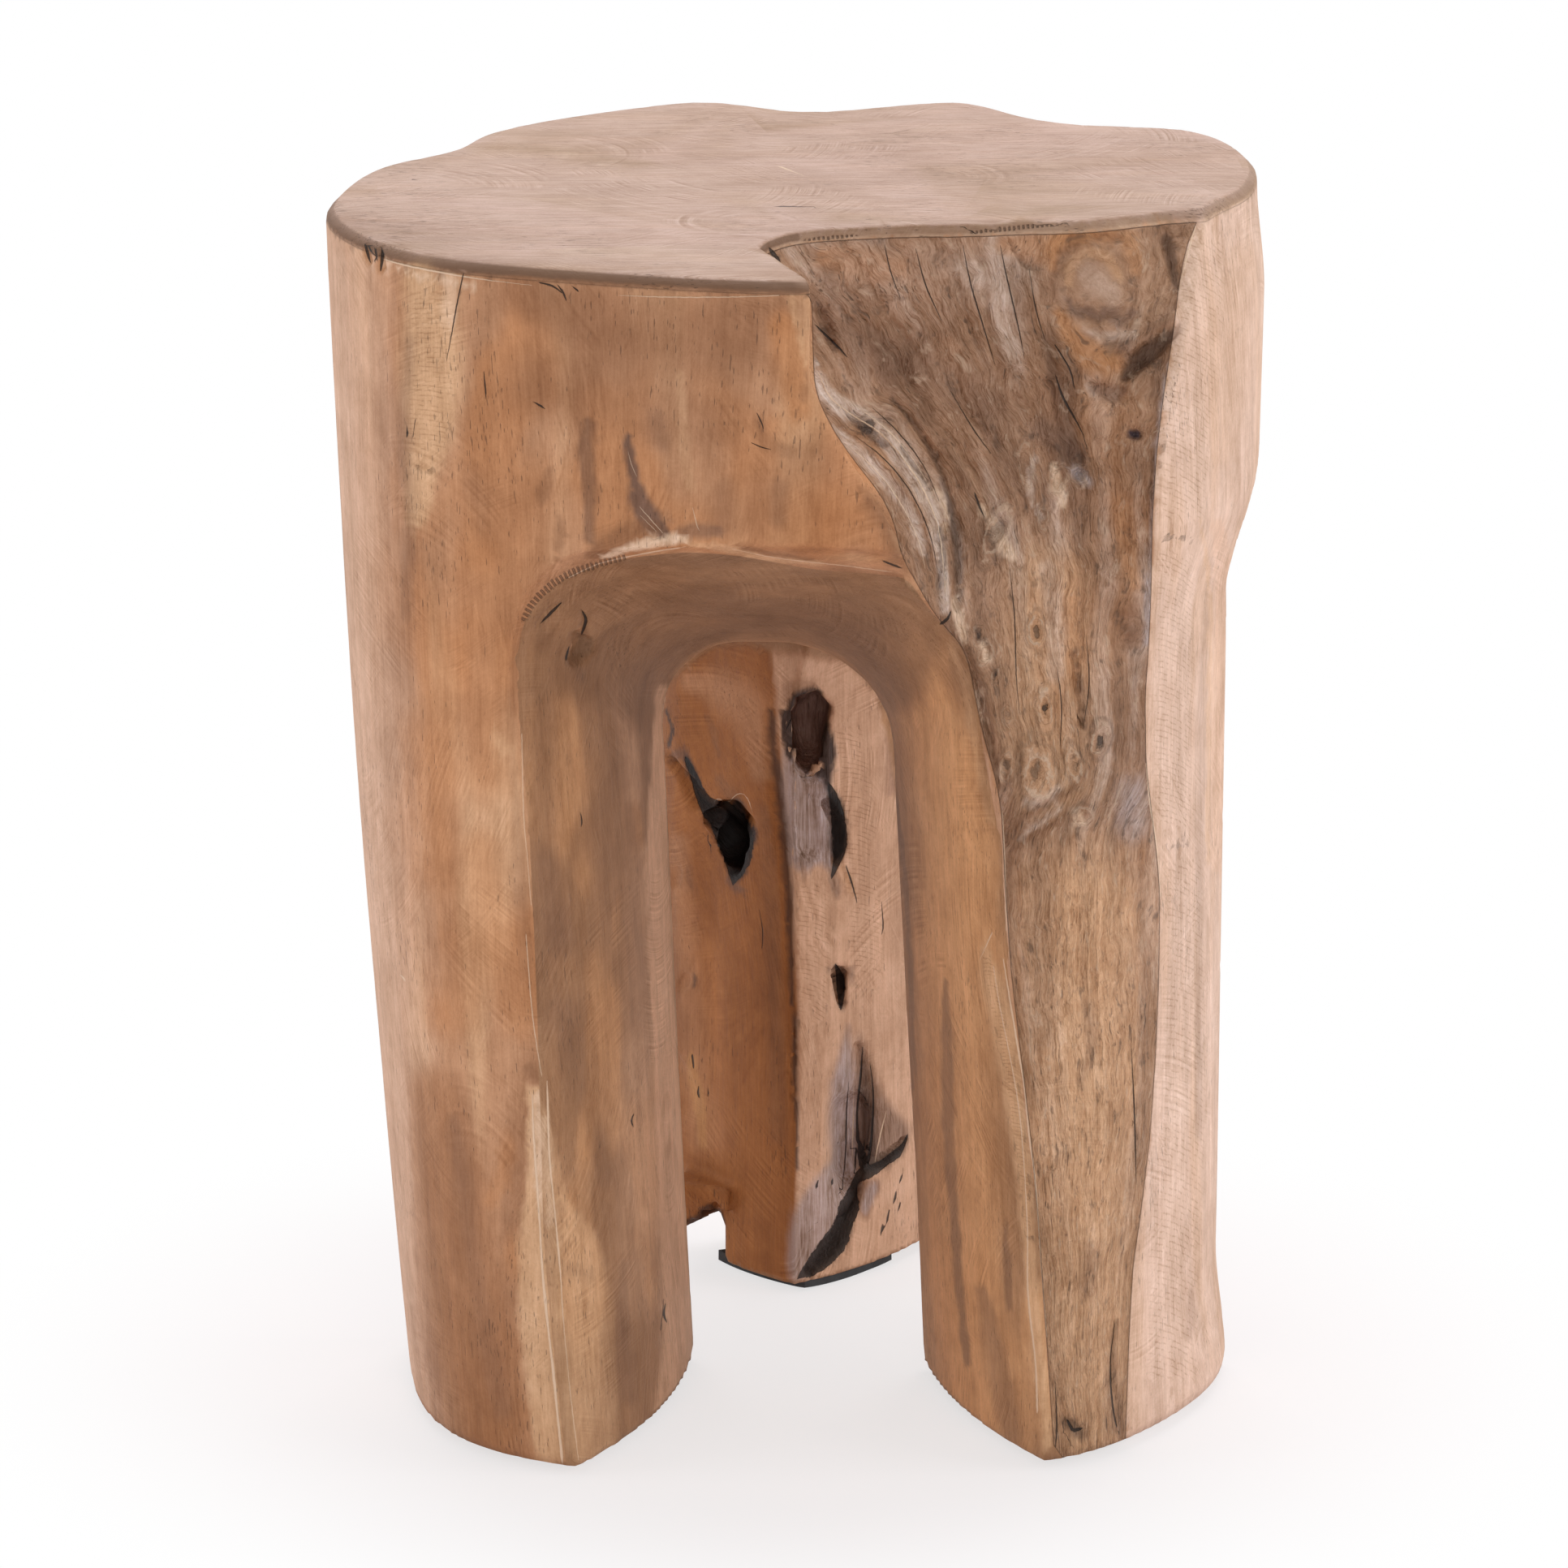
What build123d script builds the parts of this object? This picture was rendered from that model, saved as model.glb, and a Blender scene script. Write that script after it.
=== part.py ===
from build123d import *
import math
import os

# A stool carved from one teak log, in millimetres. +Z is up and the floor is z = 0.
# The seat is the sawn top of the log. Three flared arches, cut in from the sides, meet under the seat and
# leave three legs with a ridge each, facing the middle. The right of the front is a sunken natural flank
# with a sharp lip on its left. The rear leg has the hollows and the broken foot of old root wood.
# Each leg stands on a square rubber pad that two short tacks hold.

# Overall sizes
stool_height = 450.0
seat_width = 340.0
seat_depth = 322.0
foot_width = 306.0
foot_depth = 296.0
foot_shift = 9.0  # the log leans a little to the right towards the floor
swell_power = 1.45  # the taper is quicker near the floor than near the seat
rim_chamfer = 3.5
foot_chamfer = 2.5
overrun = 30.0  # how far a cut runs past what it cuts

# Log outline, anticlockwise from +X: angle in degrees, then shares of the half sizes at the seat and at the foot
outline_shares = [
    (0, 0.97, 1.00),
    (12, 1.02, 1.00),
    (26, 1.08, 1.00),
    (38, 1.09, 0.99),
    (49, 0.97, 0.97),
    (58, 0.97, 0.98),
    (69, 1.06, 1.00),
    (80, 0.94, 0.98),
    (90, 0.89, 0.97),
    (100, 1.01, 0.98),
    (113, 0.99, 1.00),
    (128, 0.95, 0.99),
    (141, 0.91, 0.97),
    (150, 0.87, 0.96),
    (162, 0.92, 0.97),
    (178, 0.97, 1.00),
    (193, 1.02, 1.02),
    (208, 1.05, 1.07),
    (222, 1.06, 1.10),
    (240, 1.00, 1.05),
    (256, 0.98, 1.00),
    (272, 0.99, 0.98),
    (290, 0.99, 0.98),
    (308, 0.99, 1.01),
    (326, 0.96, 1.00),
    (343, 0.92, 1.00),
]
level_shares = (0.0, 0.25, 0.5, 0.75, 1.0)  # heights of the level cuts that shape the log

# Arches. Each runs out level from the carving centre and gets wider and taller on its way.
carve_centre_y = 20.0
inner_half_gap = 42.0
outer_half_gap = 109.0
inner_seat_thickness = 179.0  # wood between an arch's crown and the seat, at the centre and at the bark side
outer_seat_thickness = 92.0
inner_corner = 26.0
outer_corner = 38.0
right_corner_share = 1.6  # the corner on the anticlockwise side is rounder
flare_power = 2.2
crown_power = 1.15
front_arch_lean = 30.0  # how far the front arch's crown stands left of its foot, at the bark side
inner_lean_share = 0.37
front_arch_offset = 9.5  # how far the front arch's foot stands right of the middle, at the bark side
inner_offset_share = 0.47
front_crown_fall = 7.0  # the front crown is lower at its right end
station_shares = (-0.1, 0.3, 0.6, 0.85, 1.0)
arch_degrees = {"front": 270.0, "rear_right": 22.0, "rear_left": 158.0}
# shares of the inner and outer half gap, first on the clockwise side, then on the other
arch_gap_shares = {
    "front": (1.0, 1.0, 1.0, 1.0),
    "rear_right": (1.12, 1.01, 1.155, 1.94),
    "rear_left": (1.155, 2.45, 0.79, 0.63),
}
arch_lean_share = {"front": 1.0, "rear_right": 0.0, "rear_left": 0.0}

# Sunken flank at the front right, cut by a floor that runs from under the lip out through the right side.
# Height share, then lip corner, root under the lip and three places on the floor, as shares of the half seat
flank_shares = [
    (1.02, (0.03, -0.99), (-0.08, -0.64), (-0.03, -0.49), (0.38, -0.38), (0.88, -0.20)),
    (0.92, (0.03, -0.99), (-0.05, -0.66), (0.02, -0.53), (0.42, -0.44), (0.80, -0.49)),
    (0.86, (0.11, -0.99), (0.03, -0.69), (0.10, -0.58), (0.45, -0.50), (0.77, -0.57)),
    (0.80, (0.21, -0.99), (0.13, -0.74), (0.19, -0.66), (0.49, -0.58), (0.74, -0.61)),
    (0.73, (0.30, -0.98), (0.25, -0.80), (0.31, -0.75), (0.54, -0.67), (0.73, -0.63)),
    (0.55, (0.40, -0.98), (0.38, -0.89), (0.42, -0.87), (0.59, -0.77), (0.75, -0.61)),
    (0.33, (0.46, -0.98), (0.45, -0.88), (0.48, -0.86), (0.63, -0.76), (0.78, -0.59)),
    (0.05, (0.53, -1.06), (0.52, -0.96), (0.55, -0.94), (0.70, -0.84), (0.86, -0.66)),
]

# Hollows of the rear leg, seen from the front. Place: share of the inner half gap across and of the inner
# crown up. Size: the half width and half height in the same shares, and the depth as a share of the leg's.
rear_ridge_y = 73.0
hollow_shares = {
    "left_hollow": (-0.55, 0.655, 0.30, 0.080, 0.60),
    "right_hollow": (0.16, 0.825, 0.28, 0.085, 0.40),
    "right_slot": (0.43, 0.445, 0.08, 0.045, 0.42),
    "foot_scar": (0.50, 0.190, 0.34, 0.150, 0.40),
}
hollow_mouth_shares = [(-0.9, 0.85), (0.2, 1.0), (1.0, 0.5), (0.3, -0.7), (-0.3, -1.0), (-0.8, -0.2)]
hollow_end_share = 0.5
notch_edge_share = -0.176  # of the half foot width
notch_width = 18.0
notch_height = 26.0
notch_shares = [(0.0, 0.55), (-0.3, 1.0), (-0.55, 0.7), (-0.85, 1.0)]

# Rubber pads and their tacks
pad_side = 47.5
pad_thickness = 4.0
pad_place_shares = {"front_left": (-0.59, -0.35), "front_right": (0.63, -0.35), "rear": (0.026, 0.74)}
pad_degrees = {"front_left": 30.0, "front_right": -30.0, "rear": 90.0}  # direction of a pad's diagonal
tack_spacing = 22.0
tack_head_diameter = 8.0
tack_head_thickness = 1.2
tack_shank_diameter = 1.8
tack_length = 16.0
tack_point_length = 3.0
tack_seat_height = 2.4  # from the pad's underside up to where the head bears
head_clearance = 0.4
shank_clearance = 0.05

# Worked out from the sizes above
inner_crown = stool_height - inner_seat_thickness
outer_crown = stool_height - outer_seat_thickness
arch_reach = seat_depth / 2 + carve_centre_y
arch_run = max(seat_width, seat_depth) / 2 + carve_centre_y + overrun
pad_centres = {
    leg: Vector(x * foot_width / 2, y * foot_depth / 2, 0) for leg, (x, y) in pad_place_shares.items()
}


def log_outline(level_share):
    """One level cut of the log, from the foot at 0 to the seat at 1."""
    blend = 1 - (1 - level_share) ** swell_power
    half_x = (foot_width + (seat_width - foot_width) * blend) / 2
    half_y = (foot_depth + (seat_depth - foot_depth) * blend) / 2
    shift = foot_shift * (1 - blend)
    height = pad_thickness + (stool_height - pad_thickness) * level_share
    points = []
    for degrees, seat_share, foot_share in outline_shares:
        share = foot_share + (seat_share - foot_share) * blend
        turn = math.radians(degrees)
        points.append((shift + half_x * share * math.cos(turn), half_y * share * math.sin(turn), height))
    return Spline(*points, periodic=True)


def log_blank():
    log = loft([make_face(log_outline(share)) for share in level_shares])
    log = chamfer(log.faces().sort_by(Axis.Z)[-1].edges(), rim_chamfer)
    return chamfer(log.faces().sort_by(Axis.Z)[0].edges(), foot_chamfer)


def gap_at(out, inner_share, outer_share):
    inner = inner_half_gap * inner_share
    return inner + (outer_half_gap * outer_share - inner) * out**flare_power


def arch_profile(name, station):
    """The arch's opening at one station, in its own plane: x across and y up."""
    out = max(station / arch_reach, 0)
    lean_share = arch_lean_share[name]
    clockwise_inner, clockwise_outer, other_inner, other_outer = arch_gap_shares[name]
    clockwise_gap = gap_at(out, clockwise_inner, clockwise_outer)
    other_gap = gap_at(out, other_inner, other_outer)
    crown = inner_crown + (outer_crown - inner_crown) * out**crown_power
    corner = inner_corner + (outer_corner - inner_corner) * out
    lean = front_arch_lean * lean_share * (inner_lean_share + (1 - inner_lean_share) * out)
    offset = front_arch_offset * lean_share * (inner_offset_share + (1 - inner_offset_share) * out)
    foot_offset = offset + lean * overrun / stool_height
    fall = front_crown_fall * lean_share * out
    opening = FilletPolyline(
        (foot_offset - clockwise_gap, -overrun),
        (offset - lean - clockwise_gap, crown + fall / 2),
        (offset - lean + other_gap, crown - fall / 2),
        (foot_offset + other_gap, -overrun),
        radius=[corner, corner * right_corner_share],
    )
    return make_face(opening + Line(opening @ 1, opening @ 0))


def arch_cutter(name):
    turn = math.radians(arch_degrees[name])
    outward = Vector(math.cos(turn), math.sin(turn), 0)
    across = Vector(0, 0, 1).cross(outward)
    centre = Vector(0, carve_centre_y, 0)
    stations = [share * arch_reach for share in station_shares] + [arch_run]
    sections = []
    for station in stations:
        plane = Plane(origin=centre + outward * station, x_dir=across, z_dir=across.cross(Vector(0, 0, 1)))
        sections.append(plane * arch_profile(name, station))
    return loft(sections)


def flank_section(height_share, *place_shares):
    """The air in front of the flank at one height."""
    height = height_share * stool_height
    places = [(x * seat_width / 2, y * seat_depth / 2, height) for x, y in place_shares]
    lip, root, last = places[0], places[1], places[-1]
    reach = (seat_width + seat_depth) / 2
    far_right = (reach, last[1] + (reach - last[0]) / 2, height)
    front_right = (reach, -reach, height)
    front_left = (lip[0] + (lip[0] - root[0]) / 2, -reach, height)
    edges = [
        Line(lip, root),
        Spline(*places[1:], far_right),
        Line(far_right, front_right),
        Line(front_right, front_left),
        Line(front_left, lip),
    ]
    return make_face(edges)


def flank_cutter():
    return loft([flank_section(*row) for row in flank_shares], ruled=True)


def hollow_cutter(across_share, up_share, width_share, height_share, depth_share):
    """A six-sided pocket, cut from the front into the rear leg and narrower inside."""
    x = across_share * inner_half_gap
    z = up_share * inner_crown
    half_width = width_share * inner_half_gap
    half_height = height_share * inner_crown
    end_y = rear_ridge_y + depth_share * (foot_depth / 2 - rear_ridge_y)
    faces = []
    for y, size_share in ((rear_ridge_y - overrun, 1), (end_y, hollow_end_share)):
        corners = [
            (x + across * half_width * size_share, y, z + up * half_height * size_share)
            for across, up in hollow_mouth_shares
        ]
        faces.append(make_face(Polyline(*corners, close=True)))
    return loft(faces, ruled=True)


def notch_cutter():
    """The broken-out bottom of the rear leg's left wall."""
    edge = notch_edge_share * foot_width / 2
    far = edge - notch_width - overrun
    top = [(edge + x * notch_width, pad_thickness + z * notch_height) for x, z in notch_shares]
    corners = [(edge, -overrun), *top, (far, pad_thickness + notch_height), (far, -overrun)]
    outline = make_face(Polyline(*[(x, rear_ridge_y, z) for x, z in corners], close=True))
    return extrude(outline, amount=foot_depth, dir=(0, 1, 0))


def tack_places(leg):
    """The two tacks of a leg's pad, on the diagonal that points out from the middle."""
    turn = math.radians(pad_degrees[leg])
    step = Vector(math.cos(turn), math.sin(turn), 0) * tack_spacing / 2
    return [pad_centres[leg] - step, pad_centres[leg] + step]


def upright_cylinder(place, diameter, bottom, height):
    base = (Align.CENTER, Align.CENTER, Align.MIN)
    return Pos(place.X, place.Y, bottom) * Cylinder(diameter / 2, height, align=base)


def tack(place):
    """A flat head, a round shank and a point, pushed up through the pad into the wood."""
    head = upright_cylinder(place, tack_head_diameter, tack_seat_height - tack_head_thickness, tack_head_thickness)
    straight = tack_length - tack_point_length
    shank = upright_cylinder(place, tack_shank_diameter, tack_seat_height, straight)
    base = (Align.CENTER, Align.CENTER, Align.MIN)
    point = Cone(tack_shank_diameter / 2, 0, tack_point_length, align=base)
    return head + shank + Pos(place.X, place.Y, tack_seat_height + straight) * point


def tack_hole(place):
    height = tack_seat_height + tack_length + shank_clearance
    return upright_cylinder(place, tack_shank_diameter + 2 * shank_clearance, 0, height)


def pad(leg):
    """A square of rubber with a recess and a hole for each tack."""
    base = (Align.CENTER, Align.CENTER, Align.MIN)
    turn = pad_degrees[leg] + math.degrees(math.atan(1))
    rubber = Pos(*pad_centres[leg]) * Rot(0, 0, turn) * Box(pad_side, pad_side, pad_thickness, align=base)
    recess_diameter = tack_head_diameter + 2 * head_clearance
    for place in tack_places(leg):
        rubber -= upright_cylinder(place, recess_diameter, -overrun, overrun + tack_seat_height)
        rubber -= tack_hole(place)
    return rubber


def log_body():
    cutters = [flank_cutter(), notch_cutter()]
    cutters += [arch_cutter(name) for name in arch_degrees]
    cutters += [hollow_cutter(*shares) for shares in hollow_shares.values()]
    log = log_blank().cut(*cutters)
    holes = [tack_hole(place) for leg in pad_degrees for place in tack_places(leg)]
    return log.cut(*holes)


def all_pieces():
    pieces = {"log_body": log_body()}
    for leg in pad_degrees:
        pieces[f"{leg}_pad"] = pad(leg)
        for number, place in enumerate(tack_places(leg), start=1):
            pieces[f"{leg}_tack_{number}"] = tack(place)
    return pieces


if __name__ == "__main__":
    os.makedirs("parts", exist_ok=True)
    for name, piece in all_pieces().items():
        print(name, "valid", piece.is_valid, "solids", len(piece.solids()), "mm3", round(piece.volume))
        export_step(piece, f"parts/{name}.step")
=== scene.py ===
import functools
import math
import bmesh
import bpy
import numpy as np
from mathutils import Matrix, Vector, noise


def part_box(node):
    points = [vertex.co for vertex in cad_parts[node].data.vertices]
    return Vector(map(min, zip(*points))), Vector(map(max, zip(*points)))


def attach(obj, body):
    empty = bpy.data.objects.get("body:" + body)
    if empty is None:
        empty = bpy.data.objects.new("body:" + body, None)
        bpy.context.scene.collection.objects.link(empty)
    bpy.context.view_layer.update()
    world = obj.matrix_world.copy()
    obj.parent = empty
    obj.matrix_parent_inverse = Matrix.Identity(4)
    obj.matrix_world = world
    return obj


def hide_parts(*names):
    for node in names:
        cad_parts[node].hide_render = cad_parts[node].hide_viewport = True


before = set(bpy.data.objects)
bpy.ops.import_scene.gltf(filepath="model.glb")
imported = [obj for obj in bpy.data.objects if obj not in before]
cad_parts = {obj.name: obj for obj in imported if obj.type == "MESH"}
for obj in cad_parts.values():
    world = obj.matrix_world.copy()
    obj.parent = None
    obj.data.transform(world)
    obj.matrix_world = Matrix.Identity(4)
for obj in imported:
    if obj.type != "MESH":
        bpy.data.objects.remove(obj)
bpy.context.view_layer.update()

print("frame loaded, pieces:", len(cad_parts))

# Camera of the photograph. Places given as u, v are pixels of its 1932 frame.
camera = {
    "aim": (-0.0042, 0.0, 0.2246),
    "distance": 3.3,
    "elevation": math.radians(15.7),
    "frameSide": 1932,
    "focalPixels": 10975,
    "sensor": 36.0,
}


def makeCamera():
    lens = bpy.data.cameras.new("photoCamera")
    lens.sensor_width = camera["sensor"]
    lens.sensor_fit = "HORIZONTAL"
    lens.lens = camera["focalPixels"] / camera["frameSide"] * camera["sensor"]
    lens.clip_end = 50
    eye = bpy.data.objects.new("photoCamera", lens)
    bpy.context.collection.objects.link(eye)
    tilt = camera["elevation"]
    away = Vector((0, -math.cos(tilt), math.sin(tilt)))
    eye.location = Vector(camera["aim"]) + away * camera["distance"]
    eye.rotation_euler = (math.pi / 2 - tilt, 0, 0)
    bpy.context.scene.camera = eye


def toPhoto(points):
    # pixel places in the photograph's frame
    tilt = camera["elevation"]
    offset = points - np.array(camera["aim"])
    depth = camera["distance"] + offset[:, 1] * math.cos(tilt) - offset[:, 2] * math.sin(tilt)
    up = offset[:, 1] * math.sin(tilt) + offset[:, 2] * math.cos(tilt)
    middle = camera["frameSide"] / 2
    return middle + camera["focalPixels"] * offset[:, 0] / depth, middle - camera["focalPixels"] * up / depth


def ease(low, high, values):
    share = np.clip((values - low) / (high - low), 0, 1)
    return share * share * (3 - 2 * share)


def cloud(points, size, seed=0.0, octaves=1):
    # soft noise from -1 to 1, with lumps of the given size in metres
    places = (points / np.array(size) + seed).tolist()
    if octaves == 1:
        return np.array([noise.noise(place) for place in places])
    return np.array([noise.fractal(place, 1.0, 2.0, octaves) for place in places])


def linear(red, green, blue):
    # a colour given as 0 to 255, as the renderer's linear values
    shares = np.array((red, green, blue)) / 255
    return np.where(shares > 0.04045, ((shares + 0.055) / 1.055) ** 2.4, shares / 12.92)


def bentLine(line, parts=4):
    # the soft curve through a line's points, each (u, v, half width)
    if len(line) < 3:
        return line
    spots = np.array(line, dtype=float)
    spots = np.vstack((2 * spots[0] - spots[1], spots, 2 * spots[-1] - spots[-2]))
    bent = []
    for before, start, end, after in zip(spots[:-3], spots[1:-2], spots[2:-1], spots[3:]):
        for share in np.arange(parts) / parts:
            bend = 2 * before - 5 * start + 4 * end - after
            twist = 3 * start - before - 3 * end + after
            bent.append(0.5 * (2 * start + (end - before) * share + bend * share**2 + twist * share**3))
    bent.append(spots[-2])
    return [(place[0], place[1], max(place[2], 0.2)) for place in bent]


def strokeField(u, v, line, margin=0.0):
    # the places near a drawn line: signed distance across it, how far past its ends, half width and the way along it
    line = bentLine(line)
    us, vs, widths = zip(*line)
    room = max(margin, 2.2 * max(widths))
    near = np.nonzero((u > min(us) - room) & (u < max(us) + room) & (v > min(vs) - room) & (v < max(vs) + room))[0]
    nearU, nearV = u[near], v[near]
    signed, best = np.full(len(near), 1e6), np.full(len(near), 1e6)
    past, width, along = np.zeros(len(near)), np.ones(len(near)), np.zeros(len(near))
    gone = 0.0
    for index, ((u0, v0, w0), (u1, v1, w1)) in enumerate(zip(line[:-1], line[1:])):
        du, dv = u1 - u0, v1 - v0
        length = max(math.hypot(du, dv), 1e-6)
        whole = ((nearU - u0) * du + (nearV - v0) * dv) / length**2
        share = np.clip(whole, 0, 1)
        offU, offV = nearU - u0 - share * du, nearV - v0 - share * dv
        far = np.hypot(offU, offV)
        cross = ((nearU - u0) * dv - (nearV - v0) * du) / length
        ends = np.zeros(len(near), dtype=bool)
        if index == 0:
            ends |= whole < 0
        if index == len(line) - 2:
            ends |= whole > 1
        nearer = far < best
        best = np.where(nearer, far, best)
        signed = np.where(nearer, np.where(ends, cross, far * np.where(cross < 0, -1, 1)), signed)
        past = np.where(nearer, np.where(ends, np.abs(whole - share) * length, 0), past)
        width = np.where(nearer, w0 + share * (w1 - w0), width)
        along = np.where(nearer, gone + share * length, along)
        gone += length
    return near, signed, past, width, along


def strokesOf(table):
    # the strokes of a table, each with its zone first
    return [(zone, *stroke) for zone, strokes in table.items() for stroke in strokes]


def insidePolygon(u, v, corners):
    inside = np.zeros(len(u), dtype=bool)
    for (u0, v0), (u1, v1) in zip(corners, corners[1:] + corners[:1]):
        crosses = (v0 > v) != (v1 > v)
        inside ^= crosses & (u < (u1 - u0) * (v - v0) / ((v1 - v0) or 1e-9) + u0)
    return inside


def outlineField(u, v, corners, margin):
    # pixels from a closed, softly bent outline, positive inside it and kept within the margin
    line = [(place[0], place[1], 1.0) for place in corners + corners[:1]]
    near, signed, past, width, along = strokeField(u, v, line, margin)
    far = np.full(len(u), float(margin))
    far[near] = np.minimum(np.hypot(signed, past), margin)
    inside = insidePolygon(u, v, [(place[0], place[1]) for place in bentLine(line)[:-1]])
    return np.where(inside, far, -far)


# Where the log changes from one kind of surface to another, in metres unless a note says otherwise
logShape = {
    "seatFrom": 0.444,
    "rimHeights": (0.4450, 0.4462),
    "footTop": 0.016,
    "crownHeights": (0.325, 0.36),  # between them only the faces that look down are an arch's ceiling
    "faceFront": -0.03,
    "faceHalfWidth": 0.12,
    "ridgeY": 0.0745,  # the rear leg's inner faces meet in a ridge there
    "faceSlope": 0.68,
    "windowPixels": (812, 1128),  # the front arch shows them between these
    "windowDepths": (0.05, 0.135),
    "windowWall": 0.040,
    "rearHalfWidth": 0.036,
    "hollowBottom": 0.19,
    "flankTop": 262,  # pixels, as the next two
    "flankFieldTop": 240,
    "borderReach": 10,
    "borderScale": 0.3,  # mm to a pixel
}

# Log skin: a fine mesh over the CAD solid, then shaped as a carver would
skinSettings = {
    "voxel": 0.00135,
    "triangles": 194000,
    "plugRadius": 0.0022,
    "plugHeight": 0.020,
    "lumpTop": 0.036,
    "lumpDepth": 0.016,
    "rootLumps": [  # place in x, lower end and width
        (-0.0440, 0.017, 0.005), (-0.0405, 0.0205, 0.008), (-0.0355, 0.0255, 0.006),
        (-0.0315, 0.0295, 0.005), (-0.0275, 0.027, 0.004),
    ],
}


def tackNodes():
    return [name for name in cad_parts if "_tack_" in name]


def applyModifiers(piece):
    graph = bpy.context.evaluated_depsgraph_get()
    shape = bpy.data.meshes.new_from_object(piece.evaluated_get(graph))
    piece.modifiers.clear()
    piece.data = shape


def makeSkin():
    bm = bmesh.new()
    bm.from_mesh(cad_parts["log_body"].data)
    bmesh.ops.remove_doubles(bm, verts=bm.verts, dist=1e-6)
    floorOfLeg = min(vert.co.z for vert in bm.verts)
    for name in tackNodes():  # the tacks fill their own holes
        low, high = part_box(name)
        centre = Vector(((low[0] + high[0]) / 2, (low[1] + high[1]) / 2, floorOfLeg + skinSettings["plugHeight"] / 2))
        bmesh.ops.create_cone(
            bm,
            cap_ends=True,
            segments=12,
            radius1=skinSettings["plugRadius"],
            radius2=skinSettings["plugRadius"],
            depth=skinSettings["plugHeight"],
            matrix=Matrix.Translation(centre),
        )
    for x, bottom, width in skinSettings["rootLumps"]:  # torn wood that hangs into the broken foot
        slope = math.atan(logShape["faceSlope"])
        top = skinSettings["lumpTop"]
        face = Vector((x, logShape["ridgeY"] + logShape["faceSlope"] * abs(x), (bottom + top) / 2))
        inwards = Vector((math.sin(slope), math.cos(slope), 0))
        place = Matrix.Translation(face + inwards * skinSettings["lumpDepth"] / 2)
        size = Matrix.Diagonal((width, skinSettings["lumpDepth"], top - bottom, 1))
        bmesh.ops.create_cube(bm, size=1, matrix=place @ Matrix.Rotation(-slope, 4, "Z") @ size)
    mesh = bpy.data.meshes.new("logSkin")
    bm.to_mesh(mesh)
    bm.free()
    log = bpy.data.objects.new("stoolLog", mesh)
    bpy.context.collection.objects.link(log)
    remesh = log.modifiers.new("skin", "REMESH")
    remesh.mode = "VOXEL"
    remesh.voxel_size = skinSettings["voxel"]
    applyModifiers(log)
    return log


def readSkin(mesh):
    count = len(mesh.vertices)
    points = np.empty(count * 3, dtype=np.float32)
    normals = np.empty(count * 3, dtype=np.float32)
    mesh.vertices.foreach_get("co", points)
    mesh.vertices.foreach_get("normal", normals)
    return points.reshape(-1, 3).astype(float), normals.reshape(-1, 3).astype(float)


# Where the wood changes, in pixels of the photograph: (v, u) pairs from the top down
edges = {
    "lip": [
        (300, 945), (318, 942), (345, 975), (358, 1000), (400, 1001), (440, 1002), (480, 1004), (510, 1016),
        (545, 1036), (580, 1062), (610, 1086), (640, 1101), (690, 1112), (705, 1122), (755, 1150), (780, 1170),
        (800, 1186), (850, 1200), (900, 1210), (960, 1227), (1000, 1234), (1100, 1239), (1200, 1246), (1300, 1258),
        (1400, 1270), (1500, 1279), (1600, 1286), (1700, 1293), (1800, 1299),
    ],
    "crease": [
        (262, 1482), (290, 1466), (340, 1454), (400, 1447), (440, 1441), (500, 1432), (560, 1425), (640, 1420),
        (740, 1418), (800, 1415), (860, 1411), (940, 1412), (1000, 1419), (1060, 1426), (1100, 1429), (1200, 1428),
        (1300, 1424), (1400, 1417), (1500, 1405), (1560, 1396), (1650, 1391), (1800, 1386),
    ],
    "flow": [
        (262, 830), (300, 860), (350, 905), (400, 955), (440, 996), (480, 1016), (520, 1060), (555, 1096), (595, 1126),
        (640, 1148), (700, 1164), (760, 1176), (800, 1188), (850, 1200), (900, 1210), (960, 1227), (1000, 1234),
        (1100, 1239), (1200, 1246), (1300, 1258), (1400, 1270), (1500, 1279), (1600, 1286), (1700, 1293), (1800, 1299),
    ],
    "ridge": [(780, 950), (870, 957), (960, 965), (1060, 974), (1150, 979), (1300, 985), (1450, 981), (1580, 976)],
}


# Top of the rear leg's inner faces where the arch's ceiling hides them: (u, v) pairs
innerOutline = [
    (806, 1300), (815, 900), (820, 858), (824, 845), (850, 820), (880, 800), (905, 796), (935, 800), (960, 812),
    (985, 811), (1005, 818), (1040, 820), (1060, 838), (1080, 865), (1090, 905), (1100, 965), (1110, 1020),
    (1117, 1100), (1124, 1300),
]


def edgeAt(name, v):
    # softly bent, so that fibres that follow an edge have no kinks
    heights, places = zip(*edges[name])
    return sum(np.interp(v + shift, heights, places) for shift in (-16, -8, 0, 8, 16)) / 5


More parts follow.
